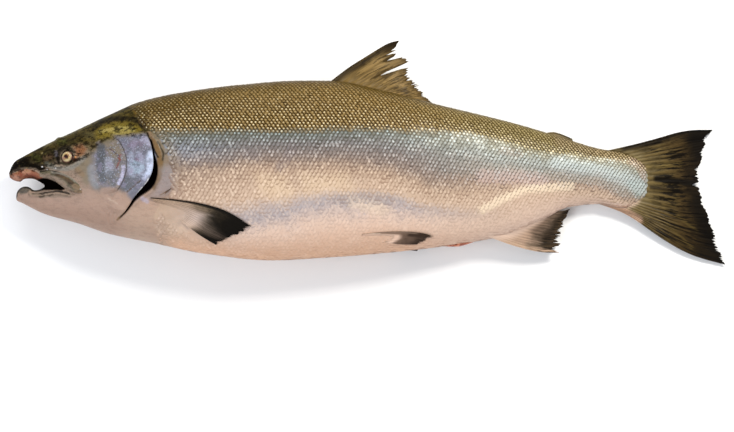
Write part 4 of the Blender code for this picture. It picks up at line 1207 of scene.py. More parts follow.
BODY_PAINT = (
    stroke("#a08a7d", 0.80, 3.2, (244, -7), (252, -13), (257, -24)),
    area("#889892", 0.60, 3.0, (238, -26), (256, -27), (260, -40), (250, -45), (242, -36)),
    # Painted sheen: a pale turquoise band towards the tail, partly the silver's own colour.
    stroke("#cdd8d8", 0.35, 5.0, (172, -10), (214, -17), (240, -26), (252, -33)),
    stroke("#9a8468", 0.45, 4.0, (214, 2), (240, -6), (254, -14)),
    # Painted glints: golden and cream bright patches on the middle of the flank.
    area("#dac09e", 0.40, 7.0, (-104, -20), (-78, -22), (-66, -38), (-84, -44), (-100, -36)),
    area("#d8bf9f", 0.40, 6.0, (-64, -20), (-20, -19), (-14, -34), (-60, -38)),
    stroke("#e2cbb0", 0.40, 5.0, (-14, -46), (14, -52)),
    stroke("#6e6466", 0.45, 4.0, (-70, 5), (-76, -6), (-82, -14)),
    stroke("#857c7c", 0.40, 4.0, (-30, -43), (6, -41), (22, -44)),
    stroke("#8d7a68", 0.35, 5.0, (176, 12), (206, 3)),
    stroke("#71696c", 0.30, 4.0, (-112, -1), (-102, -5)),
    stroke("#85766c", 0.45, 3.5, (124, 1), (138, -2)),
    stroke("#c2a8a2", 0.45, 5.0, (104, -22), (136, -23), (160, -26)),
    # Painted glints: a cream line of glitter along the lower rear flank.
    stroke("#f2dfc2", 0.60, 3.0, (104, -53), (124, -42), (144, -34), (186, -31)),
)


def length_share(x):
    """How long scales are at x, beside a full one."""
    return np.interp(x, (-60, 100, 250), (1.0, 0.93, 0.82))


def width_share(x, y):
    """How wide they are: narrow on the back and towards the tail."""
    along = np.interp(x, (-200, -150, 60, 250), (0.9, 1.0, 0.97, 0.72))
    return along * (0.78 + 0.22 * soft(band(x, y), 0.22, 0.42))


def scaled(x, y):
    """Whether there are scales at a place."""
    bare = (x > through(LAST_SCALES, y)) | (head_share(x, y) > 0.5) | (depth_inside(x, y, FIN_BASE) > 0)
    return 1.0 - bare


def scale_stand(x, y):
    """How far scales stand off the skin, beside a full one: little on the belly and next to the head."""
    stand = 1 - 0.30 * soft(band(x, y), 0.45, 0.62) - 0.45 * soft(band(x, y), 0.66, 0.86)
    return stand * (0.3 + 0.7 * soft(past_head(x, y), 2, 32))


def make_guide(name, side):
    xs = np.arange(SCALED_FROM, SCALED_TO, SHEET_STEP)
    along_map = np.cumsum(SHEET_STEP / length_share(xs[:-1] + SHEET_STEP / 2))
    along_map = np.concatenate([[0], along_map])
    points, chart = [], []
    for x, map_x in zip(xs, along_map):
        y, z, length = flank_ring(x, side, SHEET_ROWS)
        step = length / (SHEET_ROWS - 1) / width_share(x, (y[1:] + y[:-1]) / 2)
        run = np.concatenate([[0], np.cumsum(step)])
        lateral = np.interp(-float(through(LATERAL_LINE, x)), -y, run)
        points.append(np.stack([np.full(SHEET_ROWS, x), y, z], axis=-1))
        chart.append(np.stack([map_x / MAP_SIZE + 0 * run, 0.5 + (lateral - run) / MAP_SIZE], -1))
    points, chart = np.array(points), np.array(chart)
    number = np.arange(len(points) * SHEET_ROWS).reshape(-1, SHEET_ROWS)
    faces = np.stack([number[:-1, :-1], number[:-1, 1:], number[1:, 1:], number[1:, :-1]], -1).reshape(-1, 4)
    if side < 0:
        faces = faces[:, ::-1]
    mesh = bpy.data.meshes.new(name)
    mesh.from_pydata((points.reshape(-1, 3) * MM).tolist(), [], faces.tolist())
    mesh.shade_smooth()
    layer = mesh.uv_layers.new(name="flank_map")
    corners = np.empty(len(mesh.loops), np.int32)
    mesh.loops.foreach_get("vertex_index", corners)
    layer.data.foreach_set("uv", chart.reshape(-1, 2)[corners].astype(np.float32).ravel())
    x, y = points[..., 0], points[..., 1]
    for label, values in (("band", band(x, y)), ("along", along(x)),
                          ("size", scaled(x, y)), ("long", length_share(x)), ("wide", width_share(x, y)),
                          ("stand", scale_stand(x, y))):
        store(mesh, label, values)
    tone = patch_tone(x, y, BODY_PAINT).reshape(-1, 4)
    near = (0.9 * (1 - soft(past_head(x, y), 0, 16))).reshape(-1, 1)
    cover = near + tone[:, 3:] * (1 - near)
    bare = painted(points.reshape(-1, 3), HEAD_PAINT)
    blend = (bare * near + tone[:, :3] * tone[:, 3:] * (1 - near)) / np.maximum(cover, 1e-4)
    store_tone(mesh, np.concatenate([blend, cover], -1))
    return new_object(name, mesh)


guides = {word: make_guide(f"{word}_flank_guide", side) for word, side in (("left", 1), ("right", -1))}
heights = [guide.data.polygons[2000].normal.z for guide in guides.values()]
print("guide normals point out:", heights[0] > 0 > heights[1])

# %% [markdown]
# ## Rows of scales with Geometry Nodes
#
# Thousands of like things on a surface are what Geometry Nodes are for. The tree makes a staggered lattice on
# the flat map, looks up where each point lies on the guide sheet, drops the points that miss it, and sets a
# scale on each, turned to the skin and tilted a little at random. Real scales never lie perfectly even, and
# that is what makes a fish glitter. The number of each scale picks its square in the baked picture.

# %% The tree that lays out scales
SQUARES = 66  # squares along each side of a baked picture, one for each scale


def scale_rows_tree():
    tree = bpy.data.node_groups.new("scale rows", "GeometryNodeTree")
    face = tree.interface
    face.new_socket("Flank", in_out="INPUT", socket_type="NodeSocketGeometry")
    for name, kind in (("Scale", "Object"), ("Pitch", "Float"), ("Row step", "Float"), ("First row", "Int"),
                       ("Rows", "Int"), ("Per row", "Int"), ("Seed", "Int"), ("Finish", "Material")):
        face.new_socket(name, in_out="INPUT", socket_type=f"NodeSocket{kind}")
    face.new_socket("Scales", in_out="OUTPUT", socket_type="NodeSocketGeometry")
    given = tree.nodes.new("NodeGroupInput").outputs

    def field(name, kind="FLOAT"):
        return add(tree, "GeometryNodeInputNamedAttribute", {"Name": name}, data_type=kind).outputs[0]

    def keep(onto, name, value, kind="FLOAT", domain="POINT"):
        values = {"Geometry": onto, "Name": name, "Value": value}
        return add(tree, "GeometryNodeStoreNamedAttribute", values, data_type=kind, domain=domain).outputs[0]

    def either_way(reach):
        ends = {0: [-r for r in reach], 1: reach, "Seed": given["Seed"]}
        return add(tree, "FunctionNodeRandomValue", ends, data_type="FLOAT_VECTOR").outputs[0]

    def vector(*values):
        return add(tree, "ShaderNodeCombineXYZ", dict(enumerate(values))).outputs[0]

    index = add(tree, "GeometryNodeInputIndex").outputs[0]
    row = maths(tree, "FLOOR", maths(tree, "DIVIDE", index, given["Per row"]))
    row = maths(tree, "ADD", row, given["First row"])
    place = maths(tree, "MODULO", index, given["Per row"])
    stagger = maths(tree, "MULTIPLY", maths(tree, "FLOORED_MODULO", row, 2.0), 0.5)
    shift = add(tree, "ShaderNodeSeparateXYZ", {0: either_way((0.12, 0.09, 0))}).outputs
    across = maths(tree, "ADD", maths(tree, "ADD", place, stagger), shift[0])
    across = maths(tree, "MULTIPLY", across, given["Pitch"])
    upward = maths(tree, "MULTIPLY", maths(tree, "ADD", row, shift[1]), given["Row step"])
    spot = vector(maths(tree, "DIVIDE", across, MAP_SIZE * MM),
                  maths(tree, "ADD", maths(tree, "DIVIDE", upward, MAP_SIZE * MM), 0.5))

    def on_flank(value, kind="FLOAT"):
        where = {"Mesh": given["Flank"], "Value": value, "Sample UV": spot,
                 "Source UV Map": field("flank_map", "FLOAT_VECTOR")}
        return add(tree, "GeometryNodeSampleUVSurface", where, data_type=kind).outputs

    here = on_flank(add(tree, "GeometryNodeInputPosition").outputs[0], "FLOAT_VECTOR")
    outward = on_flank(add(tree, "GeometryNodeInputNormal").outputs[0], "FLOAT_VECTOR")[0]
    tint = add(tree, "FunctionNodeRandomValue", {2: -1.0, 3: 1.0, "Seed": given["Seed"]}, data_type="FLOAT")
    count = maths(tree, "MULTIPLY", given["Rows"], given["Per row"])
    laid = add(tree, "GeometryNodeMeshLine", {"Count": count}).outputs[0]
    for name in ("band", "along", "size", "stand", "long", "wide"):
        laid = keep(laid, name, on_flank(field(name))[0])
    laid = keep(laid, "tone", on_flank(field("tone", "FLOAT_COLOR"), "FLOAT_COLOR")[0], "FLOAT_COLOR")
    laid = keep(laid, "row", row)
    laid = keep(laid, "tint", tint.outputs[1])
    laid = keep(laid, "outward", outward, "FLOAT_VECTOR")
    laid = keep(laid, "found", here["Is Valid"], "BOOLEAN")
    laid = add(tree, "GeometryNodeSetPosition", {"Geometry": laid, "Position": here["Value"]}).outputs[0]
    missed = add(tree, "FunctionNodeBooleanMath", {0: field("found", "BOOLEAN")}, operation="NOT").outputs[0]
    bare = maths(tree, "LESS_THAN", field("size"), 0.4)
    dropped = add(tree, "FunctionNodeBooleanMath", {0: missed, 1: bare}, operation="OR").outputs[0]
    laid = add(tree, "GeometryNodeDeleteGeometry", {"Geometry": laid, "Selection": dropped}).outputs[0]
    laid = keep(laid, "square", index)
    normal = field("outward", "FLOAT_VECTOR")
    upright = add(tree, "FunctionNodeAlignRotationToVector", {"Vector": normal}, axis="Z").outputs[0]
    rearward = add(tree, "FunctionNodeAlignRotationToVector", {"Rotation": upright, "Vector": (1, 0, 0)},
                   axis="X", pivot_axis="Z").outputs[0]
    tilt = add(tree, "FunctionNodeEulerToRotation", {0: either_way((0.05, 0.06, 0.09))}).outputs[0]
    turned = add(tree, "FunctionNodeRotateRotation", {"Rotation": rearward, "Rotate By": tilt},
                 rotation_space="LOCAL").outputs[0]
    one = add(tree, "GeometryNodeObjectInfo", {"Object": given["Scale"]}).outputs["Geometry"]
    real = add(tree, "GeometryNodeInstanceOnPoints", {
        "Points": laid, "Instance": one, "Rotation": turned,
        "Scale": vector(field("long"), field("wide"), field("stand")),
    }).outputs[0]
    real = add(tree, "GeometryNodeRealizeInstances", {"Geometry": real}).outputs[0]
    square = field("square")
    cell = vector(maths(tree, "MODULO", square, float(SQUARES)),
                  maths(tree, "FLOOR", maths(tree, "DIVIDE", square, float(SQUARES))))
    in_cell = {0: cell, 1: field("scale_chart", "FLOAT_VECTOR")}
    chart = add(tree, "ShaderNodeVectorMath", in_cell, operation="ADD").outputs[0]
    chart = add(tree, "ShaderNodeVectorMath", {0: chart, 3: 1 / SQUARES}, operation="SCALE").outputs[0]
    real = keep(real, "OFBake", chart, "FLOAT2", "CORNER")
    real = add(tree, "GeometryNodeSetMaterial", {"Geometry": real, "Material": given["Finish"]}).outputs[0]
    feed(tree, tree.nodes.new("NodeGroupOutput"), {"Scales": real})
    return tree


scale_rows = scale_rows_tree()
print("the tree has", len(scale_rows.nodes), "nodes")

# %% [markdown]
# ## Scale material
#
# Fish scale is clear horn over foil-like crystals, so the colour is the skin's band colour, brighter in the
# scale's middle and darker at its rim. The bright middle is partly the scale's own pale crystal and partly a
# painted glint. On the back the rim is nearly black pigment and gives the net of dark lines; lower down the
# darker rim is painted shade under each scale's rear edge. On the belly there is hardly any rim. The dark
# lies on one slanting side of each scale as painted shade, the side turned away from the light, which gives
# the diagonal lines that the eye follows along a salmon. Each scale is a little lighter or darker than the
# next.

# %% The scales' shader
# How strongly each band gets a pale crown: partly the scale's own paler middle, partly a painted glint.
PALE_CROWN_AND_GLINT = ((0.0, 0.35), (0.08, 0.65), (0.26, 0.9), (0.31, 0.4), (0.60, 0.38), (0.8, 0.26), (1.0, 0.14))
# The pale crown's colours, which are also the colours of the painted glints.
PALE_CROWN_AND_GLINT_TONES = (
    (0.0, "#8f8058"), (0.10, "#b0a07a"), (0.27, "#d2c4a0"), (0.32, "#bccaca"), (0.5, "#c6beba"),
    (0.62, "#e2cab2"), (1.0, "#ecd4c2"),
)
CROWN_REACH = ((0.0, 0.30), (0.27, 0.34), (0.34, 0.50), (0.5, 0.56), (0.62, 0.60), (1.0, 0.62))
# How dark each band's rim is: dark pigment on the back, painted shade under each scale's rear edge further
# down.
NET_AND_EDGE_SHADE_STRENGTH = (
    (0.0, 0.84), (0.08, 0.96), (0.27, 0.97), (0.33, 0.72), (0.48, 0.58), (0.62, 0.46), (0.8, 0.2), (1.0, 0.1),
)
NET_AND_EDGE_SHADE_TONES = (
    (0.0, "#3a2c0c"), (0.27, "#2c1e06"), (0.33, "#3f4138"), (0.5, "#524540"), (0.65, "#80634f"),
    (1.0, "#a8866f"),
)


def make_scale_material():
    material, tree, shader = new_material("guanine silver scale")
    rim, tint = read(tree, "rim"), read(tree, "tint")
    wander = maths(tree, "MULTIPLY_ADD", noise(tree, 22.0), 0.08, -0.04)
    scatter = maths(tree, "MULTIPLY_ADD", tint, 0.004, wander)
    number = maths(tree, "ADD", read(tree, "band"), scatter)
    colour = body_colour(tree, number)
    colour = mixed(tree, read(tree, "tone", "Alpha"), colour, read(tree, "tone", "Color"))

    # The pale crown, partly a painted highlight, leans to the lit side of the scale, and the dark net fills
    # the other side as painted shade
    below = maths(tree, "MULTIPLY_ADD", read(tree, "low"), 2.0, -1.0)
    below = maths(tree, "MULTIPLY", below, remap(tree, number, 0.28, 0.36, -0.8, 0.85))
    leaning = maths(tree, "MULTIPLY", rim, maths(tree, "MULTIPLY_ADD", below, 0.95, 1.0))
    reach = ramp(tree, number, CROWN_REACH)
    crown = remap(tree, leaning, reach, 0.10, smooth=True)
    # Painted glints: some patches of scales and some single scales are brighter, as where a scale catches the
    # light.
    flash = remap(tree, noise(tree, 5.0), 0.36, 0.64, 0.45, 1.4)
    sparkle = remap(tree, tint, -1.0, 1.0, 0.25, 1.5, smooth=True)
    crown_glint = maths(tree, "MULTIPLY", maths(tree, "MULTIPLY", ramp(tree, number, PALE_CROWN_AND_GLINT), crown), flash)
    crown_glint = maths(tree, "MULTIPLY", crown_glint, sparkle, use_clamp=True)
    colour = mixed(tree, crown_glint, colour, ramp(tree, number, PALE_CROWN_AND_GLINT_TONES))
    edge = remap(tree, leaning, reach, maths(tree, "ADD", reach, 0.28), smooth=True)
    shade = maths(tree, "MULTIPLY", ramp(tree, number, NET_AND_EDGE_SHADE_STRENGTH), edge)
    weight = maths(tree, "MULTIPLY_ADD", below, 0.5, 1.0)
    shade = maths(tree, "MULTIPLY", shade, weight, use_clamp=True)
    colour = mixed(tree, shade, colour, ramp(tree, number, NET_AND_EDGE_SHADE_TONES))

    # Each scale of the lateral line has a dark pore
    lateral = maths(tree, "COMPARE", read(tree, "row"), 0.0, 0.4)
    pore = maths(tree, "MULTIPLY", lateral, remap(tree, rim, 0.0, 0.5, 0.4, 0.0))
    feed(tree, shader, {
        "Base Color": mixed(tree, pore, colour, linear("#3a3a3c")),
        "Roughness": remap(tree, tint, -1.0, 1.0, 0.52, 0.34),
        "Metallic": remap(tree, number, 0.24, 0.36, 0.03, 0.2),
        "Specular IOR Level": remap(tree, number, 0.24, 0.36, 0.06, 0.2),
        "Coat Weight": 0.02,
        "Coat Roughness": 0.15,
    })
    return material


scale_finish = make_scale_material()
print(scale_finish.name, "has", len(scale_finish.node_tree.nodes), "nodes")

# %% [markdown]
# A tree's inputs are set on the modifier by each socket's identifier, which is not its name. The result is
# taken as a plain mesh, and the guide, the modifier and the single scale are then removed.

# %% Cover both flanks
PER_ROW = round((SCALED_TO - SCALED_FROM) / SCALE_PITCH * 1.1) + 1


def lay_scales(name, guide, first_row, rows, seed):
    holder = new_object(name, guide.data.copy())
    layout = holder.modifiers.new("Scales", "NODES")
    layout.node_group = scale_rows
    inputs = {"Scale": one_scale, "Pitch": SCALE_PITCH * MM, "Row step": ROW_STEP * MM, "Rows": rows,
              "First row": first_row, "Per row": PER_ROW, "Seed": seed, "Finish": scale_finish}
    for socket in scale_rows.interface.items_tree:
        if socket.in_out == "INPUT" and socket.name in inputs:
            layout[socket.identifier] = inputs[socket.name]
    return len(dress(baked(holder)).data.vertices) // SCALE_CORNERS


SCALE_CORNERS = len(one_scale.data.vertices)
scale_total = 0
for number, (word, guide) in enumerate(guides.items()):
    on_back = lay_scales(f"{word}_back_scales", guide, 0, 40, number * 2 + 1)
    on_belly = lay_scales(f"{word}_belly_scales", guide, -50, 50, number * 2 + 2)
    scale_total += on_back + on_belly
    print(word, "flank:", on_back, "and", on_belly, "scales")
for helper in [*guides.values(), one_scale]:
    bpy.data.objects.remove(helper)
print(scale_total, "scales in all")

# %% [markdown]
# ## Fins
#
# A fin is a fan of bony rays with a thin web between them. Each ray splits into branches towards its tip, and
# the web tears back from the edge, so the rim is ragged. The shape comes from a few given ribs, and
# the rays are spread evenly between them. Every point also keeps how far out it is, where it stands across
# the fan and whether it is on a ray, for the colour to read.

# %% Ribs of each fin
CAUDAL_RIBS = (
    ((214.1, 0.7), (239.9, 6.2), (266.7, 13.1), (293.4, 21.2), (319.3, 21.5)),
    ((247.3, -6.7), (269.5, -3), (291.6, 0.2), (311.9, 4.4)),
    ((251, -26.1), (269.5, -25.9), (288.8, -25.4), (307.3, -25.1)),
    ((245.5, -45.4), (269.5, -51.9), (292.5, -57), (315.5, -57)),
    ((230, -49), (256, -59.5), (282, -72), (306, -81), (326.5, -84.5)),
    ((212.2, -46.8), (239.9, -56.1), (269.5, -78.2), (299, -95.3), (331.3, -103.6)),
)
DORSAL_RIBS = (
    ((-36.9, 63.4), (-19.4, 77.7), (0, 89.7), (18.5, 101.5), (28.6, 103.6)),
    ((-16.6, 57.9), (1.8, 70.8), (20.3, 80.1), (38.8, 85.6)),
    ((6.5, 54.2), (20.3, 61.6), (33.2, 67.6), (45.2, 70.8)),
    ((22.1, 51), (33.2, 53.8), (43.4, 55.6), (52.6, 57)),
    ((34.1, 47.8), (43.4, 47.3), (51.7, 46.8), (60, 45.4)),
)
ANAL_RIBS = (
    ((114.4, -78.7), (131, -84.9), (147.6, -89.7), (163.3, -92.5), (177.2, -92.3)),
    ((129.2, -76.8), (146.7, -81.9), (163.3, -84.7), (179.5, -84.7)),
    ((144.9, -70.4), (158.7, -73.1), (170.7, -75), (180.9, -75)),
    ((160.6, -63), (168.9, -63.9), (176.3, -64.8), (182.7, -64.8)),
    ((173.5, -53.8), (178.1, -53.8), (182.7, -53.3), (187.3, -51.4)),
)
PECTORAL_RIBS = (
    ((-199.3, -41.5), (-177.2, -43), (-152.3, -46.6), (-128.3, -53.6), (-107, -67.9)),
    ((-197.5, -43.5), (-176, -47), (-150, -54.6), (-126.4, -64.4), (-111.7, -73.4)),
    ((-195.8, -45.4), (-176.5, -50.6), (-154, -61.5), (-136.6, -72.2), (-122.7, -78.5)),
    ((-194.2, -47.2), (-178.5, -54), (-159.5, -66.5), (-145.2, -75.8), (-131, -81.8)),
    ((-192.8, -48.9), (-181.5, -56.6), (-166.1, -67.6), (-152.3, -77.6), (-139.3, -85.1)),
)
PELVIC_RIBS = (
    ((-5.5, -75), (15.7, -72.9), (36.9, -72.6), (51.7, -74.2), (60.9, -77.6)),
    ((-4.6, -76.4), (16.6, -76.4), (36.9, -77.2), (49.8, -78.2), (58.6, -80.1)),
    ((-3.7, -78.2), (7.4, -81.9), (22.1, -83.8), (34.1, -84.9), (45.2, -84.7)),
)
ADIPOSE_RIBS = (
    ((159.5, 16.5), (168.5, 20), (178, 17.8), (190.5, 12.2)),
    ((163, 12.5), (171, 13.5), (180, 12.5), (189.5, 9.5)),
)
AXILLARY_RIBS = (
    ((-190, -38.5), (-185, -35.6), (-180.2, -32.8)),
    ((-191, -40.5), (-185, -38), (-180.2, -33.4)),
)
CELLS_PER_RAY = 6
RIB_POINTS = 60


def fan_grid(ribs, rays, rows, shortfall, seed, notches=()):
    """Places of a fan's points (row, column), its shares outwards and across, and how near a ray each is.

    shortfall is how far the web falls short of the rays' tips, and notches are tears: (across, width, depth).
    """
    chance = np.random.default_rng(seed)
    columns = rays * CELLS_PER_RAY + 1
    across, out = np.meshgrid(np.linspace(0, 1, columns), np.linspace(0, 1, rows))
    phase = across * rays + 0.22 * np.sin(across * 19) * out
    ray = np.cos(phase * 2 * math.pi) * 0.5 + 0.5
    branch = np.cos(phase * 4 * math.pi) * 0.5 + 0.5
    split = soft(out, 0.45, 0.75)
    ray = ray * (1 - split) + np.maximum(ray * 0.8, branch * 0.9) * split
    marks = np.arange(rays + 1)
    torn = np.interp(phase[0], marks + 0.5, chance.uniform(0.1, 1.5, rays + 1))
    worn = np.interp(phase[0], marks, chance.uniform(0, 1, rays + 1) ** 2) * shortfall * 0.8
    short = shortfall * (1 - ray[-1]) * torn + worn + chance.uniform(0, 0.25 * shortfall, columns)
    short *= soft(np.minimum(across[0], 1 - across[0]), 0, 0.06)
    for place, width, depth in notches:
        short = np.maximum(short, depth * np.clip(1 - np.abs(across[0] - place) / width, 0, 1) ** 0.7)
    reach = out * (1 - short[None] * out**2.2)
    share = np.linspace(0, 1, RIB_POINTS)
    smooth_ribs = [on_line(rounded(rib), share) for rib in ribs]
    lines = np.stack([[np.interp(reach, share, rib[:, i]) for i in (0, 1)] for rib in smooth_ribs])
    marks = np.linspace(0, 1, len(ribs))
    x, y = np.empty_like(across), np.empty_like(across)
    for j in range(columns):
        for target, values in ((x, lines[:, 0, :, j]), (y, lines[:, 1, :, j])):
            for i in range(rows):
                target[i, j] = through(list(zip(marks, values[:, i])), across[i, j])
    return x, y, out, across, ray


x, y, *_ = fan_grid(ADIPOSE_RIBS, 2, 5, 0.05, 1)
print("the adipose fin reaches from", round(float(x.min())), "to", round(float(x.max())), "mm")

# %% [markdown]
# A fin stands in the fish's middle plane, or it lies back on the flank. Both sorts are slabs, thick at the
# root and thin at the rim, and only the height of their middle differs.

# %% Dark and pale patches of the fins
FIN_PAINT = (
    stroke("#15100a", 0.8, 1.4, (236, 3.5), (262, 10.5), (292, 20), (318, 22)),
    area("#0d0905", 0.85, 5.0, (296, 19), (319, 22), (314, 6), (309, -6), (304, -10), (300, 2)),
    stroke("#6e5d31", 0.4, 1.6, (256, -13), (278, -11), (290, -10)),
    stroke("#0b0703", 0.95, 2.4, (267, -24), (285, -26), (307, -29)),
    stroke("#171006", 0.8, 1.4, (262, -32), (284, -35), (302, -37)),
    area("#0c0804", 0.85, 5.0, (304, -36), (318, -62), (332, -104), (316, -92), (306, -66), (299, -46)),
    stroke("#64532a", 0.35, 1.2, (262, -44), (284, -56), (304, -72)),
    stroke("#64532a", 0.35, 1.2, (258, -52), (276, -66), (300, -88)),
    stroke("#b8977f", 0.95, 3.4, (220, -48), (236, -54), (250, -62)),
    stroke("#8b5c43", 0.8, 0.9, (228, -54.5), (246, -63.5), (258, -72)),
    stroke("#1a120a", 0.85, 1.2, (258, -72), (280, -87), (300, -98)),
    stroke("#40331a", 0.85, 2.2, (214, 1), (232, -1), (246, -6)),
    stroke("#0b0805", 0.95, 1.2, (-199, -42.2), (-178, -43.2), (-153.5, -46.2), (-131, -53.4), (-115.4, -62),
           (-108, -67.6)),
    area("#927d6b", 0.75, 4.0, (-192, -43), (-166, -46), (-160, -52), (-160, -62), (-166, -70), (-174, -66),
         (-188, -52)),
    stroke("#1b130c", 0.9, 1.8, (-198, -42.6), (-190, -43.6)),
    area("#0e0b07", 0.8, 4.0, (-128, -56), (-108, -67), (-118, -76), (-132, -83), (-134, -77), (-128, -68)),
    stroke("#33261d", 0.85, 1.4, (38, -75.4), (50, -76), (61, -78.6)),
    stroke("#dcc4b0", 0.7, 0.8, (-4, -75.2), (10, -74.4)),
    stroke("#8a7566", 0.7, 0.7, (8, -73.6), (30, -72.8), (45, -74)),
    area("#2e241b", 0.65, 5.0, (150, -72), (163, -60), (170, -53), (186, -53), (181, -70), (178, -86),
         (165, -86), (152, -80)),
    stroke("#b79a82", 0.85, 1.8, (118, -80.4), (148, -88.6), (178, -91.4)),
)
print(len(FIN_PAINT), "patches on the fins")

# %% Build a fin
def finish_fin(name, parts, middle, half, material):
    """A slab over a fan's points, with all that its material reads."""
    x, y, out, across, ray = parts
    made = slab(name, np.stack([x, y, middle + half], -1), np.stack([x, y, middle - half], -1))
    made.materials.append(material)
    buried = 1 - soft(out, 0.0, 0.12) if name == "tail_fin" else 1 - soft(out, 0.04, 0.3)
    if name.startswith(("left_p", "right_p")):
        rise = np.abs(middle - flank_height(x, y, 1 if name[0] == "l" else -1))
        fade = 1.2 if "pectoral" in name else 0.6
        buried = (1 - soft(rise, 0.1, fade) * soft(out, 0, 0.2)) * soft(across, 0.05, 0.14)
    fields = {"out": out, "across": across, "ray": ray, "band": np.minimum(band(x, y), 0.9),
              "along": along(x), "buried": buried}
    for label, values in fields.items():
        store(made, label, [values, values])
    tone = patch_tone(x, y, FIN_PAINT).reshape(-1, 4)
    store_tone(made, np.concatenate([tone, tone]))
    return dress(new_object(name, made))


def upright_fin(name, ribs, material, rays, rows, seed, shortfall, notches=(), sag=0.0, root=3.2, edge=0.7,
                fillet=0.0):
    """A fin in the middle plane. sag lets its free edge down, and fillet swells its root into the body."""
    longer = []
    for rib in ribs:
        first, second = np.array(rib[0]), np.array(rib[1])
        inner = first + (first - second) / np.linalg.norm(second - first) * (5.0 if fillet else 1.0)
        longer.append((tuple(inner),) + tuple(rib[1:]))
    parts = fan_grid(longer, rays, rows, shortfall, seed, notches)
    x, y, out, across, ray = parts
    half = (root + (edge - root) * np.sqrt(out)) / 2 * (0.5 + 0.5 * ray)
    flesh = np.maximum(flank_height(x[0], y[0], 1) - through(MIDDLE_HEIGHT, x[0]) - half[0], 0) * fillet
    half = half + flesh * np.clip(1 - out / 0.42, 0, 1) ** 2
    wave = 0.9 * np.sin(across * 9 + out * 3) * out
    middle = np.maximum(through(MIDDLE_HEIGHT, x) - sag * out**2 + wave, half + 0.4)
    return finish_fin(name, parts, middle, half, material)


def lying_fin(name, ribs, material, rays, rows, side, seed, shortfall, lift, shift=0.0):
    """A fin on the flank. lift is how far its free part stands off, and shift moves its tip up the belly."""
    moved = tuple(tuple((x, y + shift * i / (len(rib) - 1)) for i, (x, y) in enumerate(rib)) for rib in ribs)
    parts = fan_grid(moved, rays, rows, shortfall, seed)
    x, y, out, across, ray = parts
    half = (1.3 - 0.75 * out) / 2 * (0.45 + 0.55 * ray) + 0.1
    free = np.maximum(soft(out, 0.3, 0.7), 1 - soft(across, 0.15, 0.6))
    height = free * lift * (0.35 + 0.65 * out) - 0.7 * (1 - free) + 0.25 * np.sin(across * 7) * out
    middle = flank_height(x, y, side) + side * height
    return finish_fin(name, parts, np.maximum(middle, half + 0.3), half, material)


# %% [markdown]
# ## Fin materials
#
# Fin web is a clear, wet membrane with dark pigment in streaks along the rays. The pigment is what differs:
# the tail is olive brown with black streaks, the paired fins are flesh pink at the root and black at the tip.
# The streaks come from noise on a fan-shaped map, short across the fan and long outwards.

# %% The fins' shaders
def make_fin_material(name, tones, streak_tone, streak, streak_from, streak_count, edge=0.0):
    """tones are (share outwards, colour). Streaks start at streak_from, and edge darkens the leading ray."""
    material, tree, shader = new_material(name)
    out, across, buried = (read(tree, label) for label in ("out", "across", "buried"))
    fan_map = {0: maths(tree, "MULTIPLY", out, 2.6), 1: maths(tree, "MULTIPLY", across, streak_count)}
    fan_map = add(tree, "ShaderNodeCombineXYZ", fan_map).outputs[0]
    look = {"Vector": fan_map, "Scale": 1.0, "Detail": 5.0, "Roughness": 0.7}
    streaks = add(tree, "ShaderNodeTexNoise", look).outputs["Fac"]
    uneven = maths(tree, "MULTIPLY_ADD", noise(tree, 8.0), 0.3, -0.15)
    finger = maths(tree, "ADD", maths(tree, "MULTIPLY_ADD", streaks, 1.2, -0.6), uneven)
    outward = maths(tree, "ADD", out, finger)
    tone = ramp(tree, outward, tones)
    tone = mixed(tree, read(tree, "tone", "Alpha"), tone, read(tree, "tone", "Color"))
    tone = mixed(tree, buried, tone, body_colour(tree, read(tree, "band")))
    mark = remap(tree, streaks, 0.54, 0.44, 0.0, streak)
    mark = maths(tree, "MAXIMUM", mark, remap(tree, read(tree, "ray"), 0.6, 0.1, 0.0, streak * 0.6))
    mark = maths(tree, "MULTIPLY", mark, remap(tree, outward, streak_from, streak_from + 0.3))
    mark = maths(tree, "MULTIPLY", mark, maths(tree, "SUBTRACT", 1.0, buried))
    colour = mixed(tree, mark, tone, linear(streak_tone))
    colour = mixed(tree, remap(tree, across, 0.1, 0.05, 0.0, edge), colour, linear("#0d0a07"))
    feed(tree, shader, {
        "Base Color": colour,
        "Normal": bump(tree, streaks, 0.5, 0.5),
        "Roughness": remap(tree, streaks, 0.3, 0.7, 0.4, 0.6),
        "Specular IOR Level": 0.06,
        "Coat Weight": 0.02,
        "Coat Roughness": 0.2,
    })
    return material


tail_web = make_fin_material("olive tail web", (
    (0.0, "#77694a"), (0.25, "#665634"), (0.5, "#584828"), (0.7, "#42331a"), (0.88, "#1c1408"),
), "#060301", 0.97, 0.0, 34, 0.35)
back_web = make_fin_material("olive dorsal web", (
    (0.0, "#64502a"), (0.4, "#7d653a"), (0.75, "#836b42"), (1.0, "#4c3b20"),
), "#2d210c", 0.85, 0.05, 22, 0.75)
anal_web = make_fin_material("pink anal web", (
    (0.0, "#b39680"), (0.35, "#a38874"), (0.58, "#786554"), (0.78, "#413527"), (1.0, "#55442f"),
), "#120c06", 0.95, 0.38, 26)
side_web = make_fin_material("pectoral web", (
    (0.0, "#9b8572"), (0.36, "#927c69"), (0.50, "#74644f"), (0.64, "#3d3427"), (0.80, "#100c07"),
), "#0a0704", 0.9, 0.22, 46, 0.95)
hip_web = make_fin_material("pelvic web", (
    (0.0, "#ac8f79"), (0.4, "#957a67"), (0.7, "#6f5a4c"), (1.0, "#35281f"),
), "#33261f", 0.65, 0.30, 22, 0.5)
soft_web = make_fin_material("adipose skin", ((0.0, "#857452"), (1.0, "#6b5f47")), "#4c422c", 0.4, 0.3, 6)

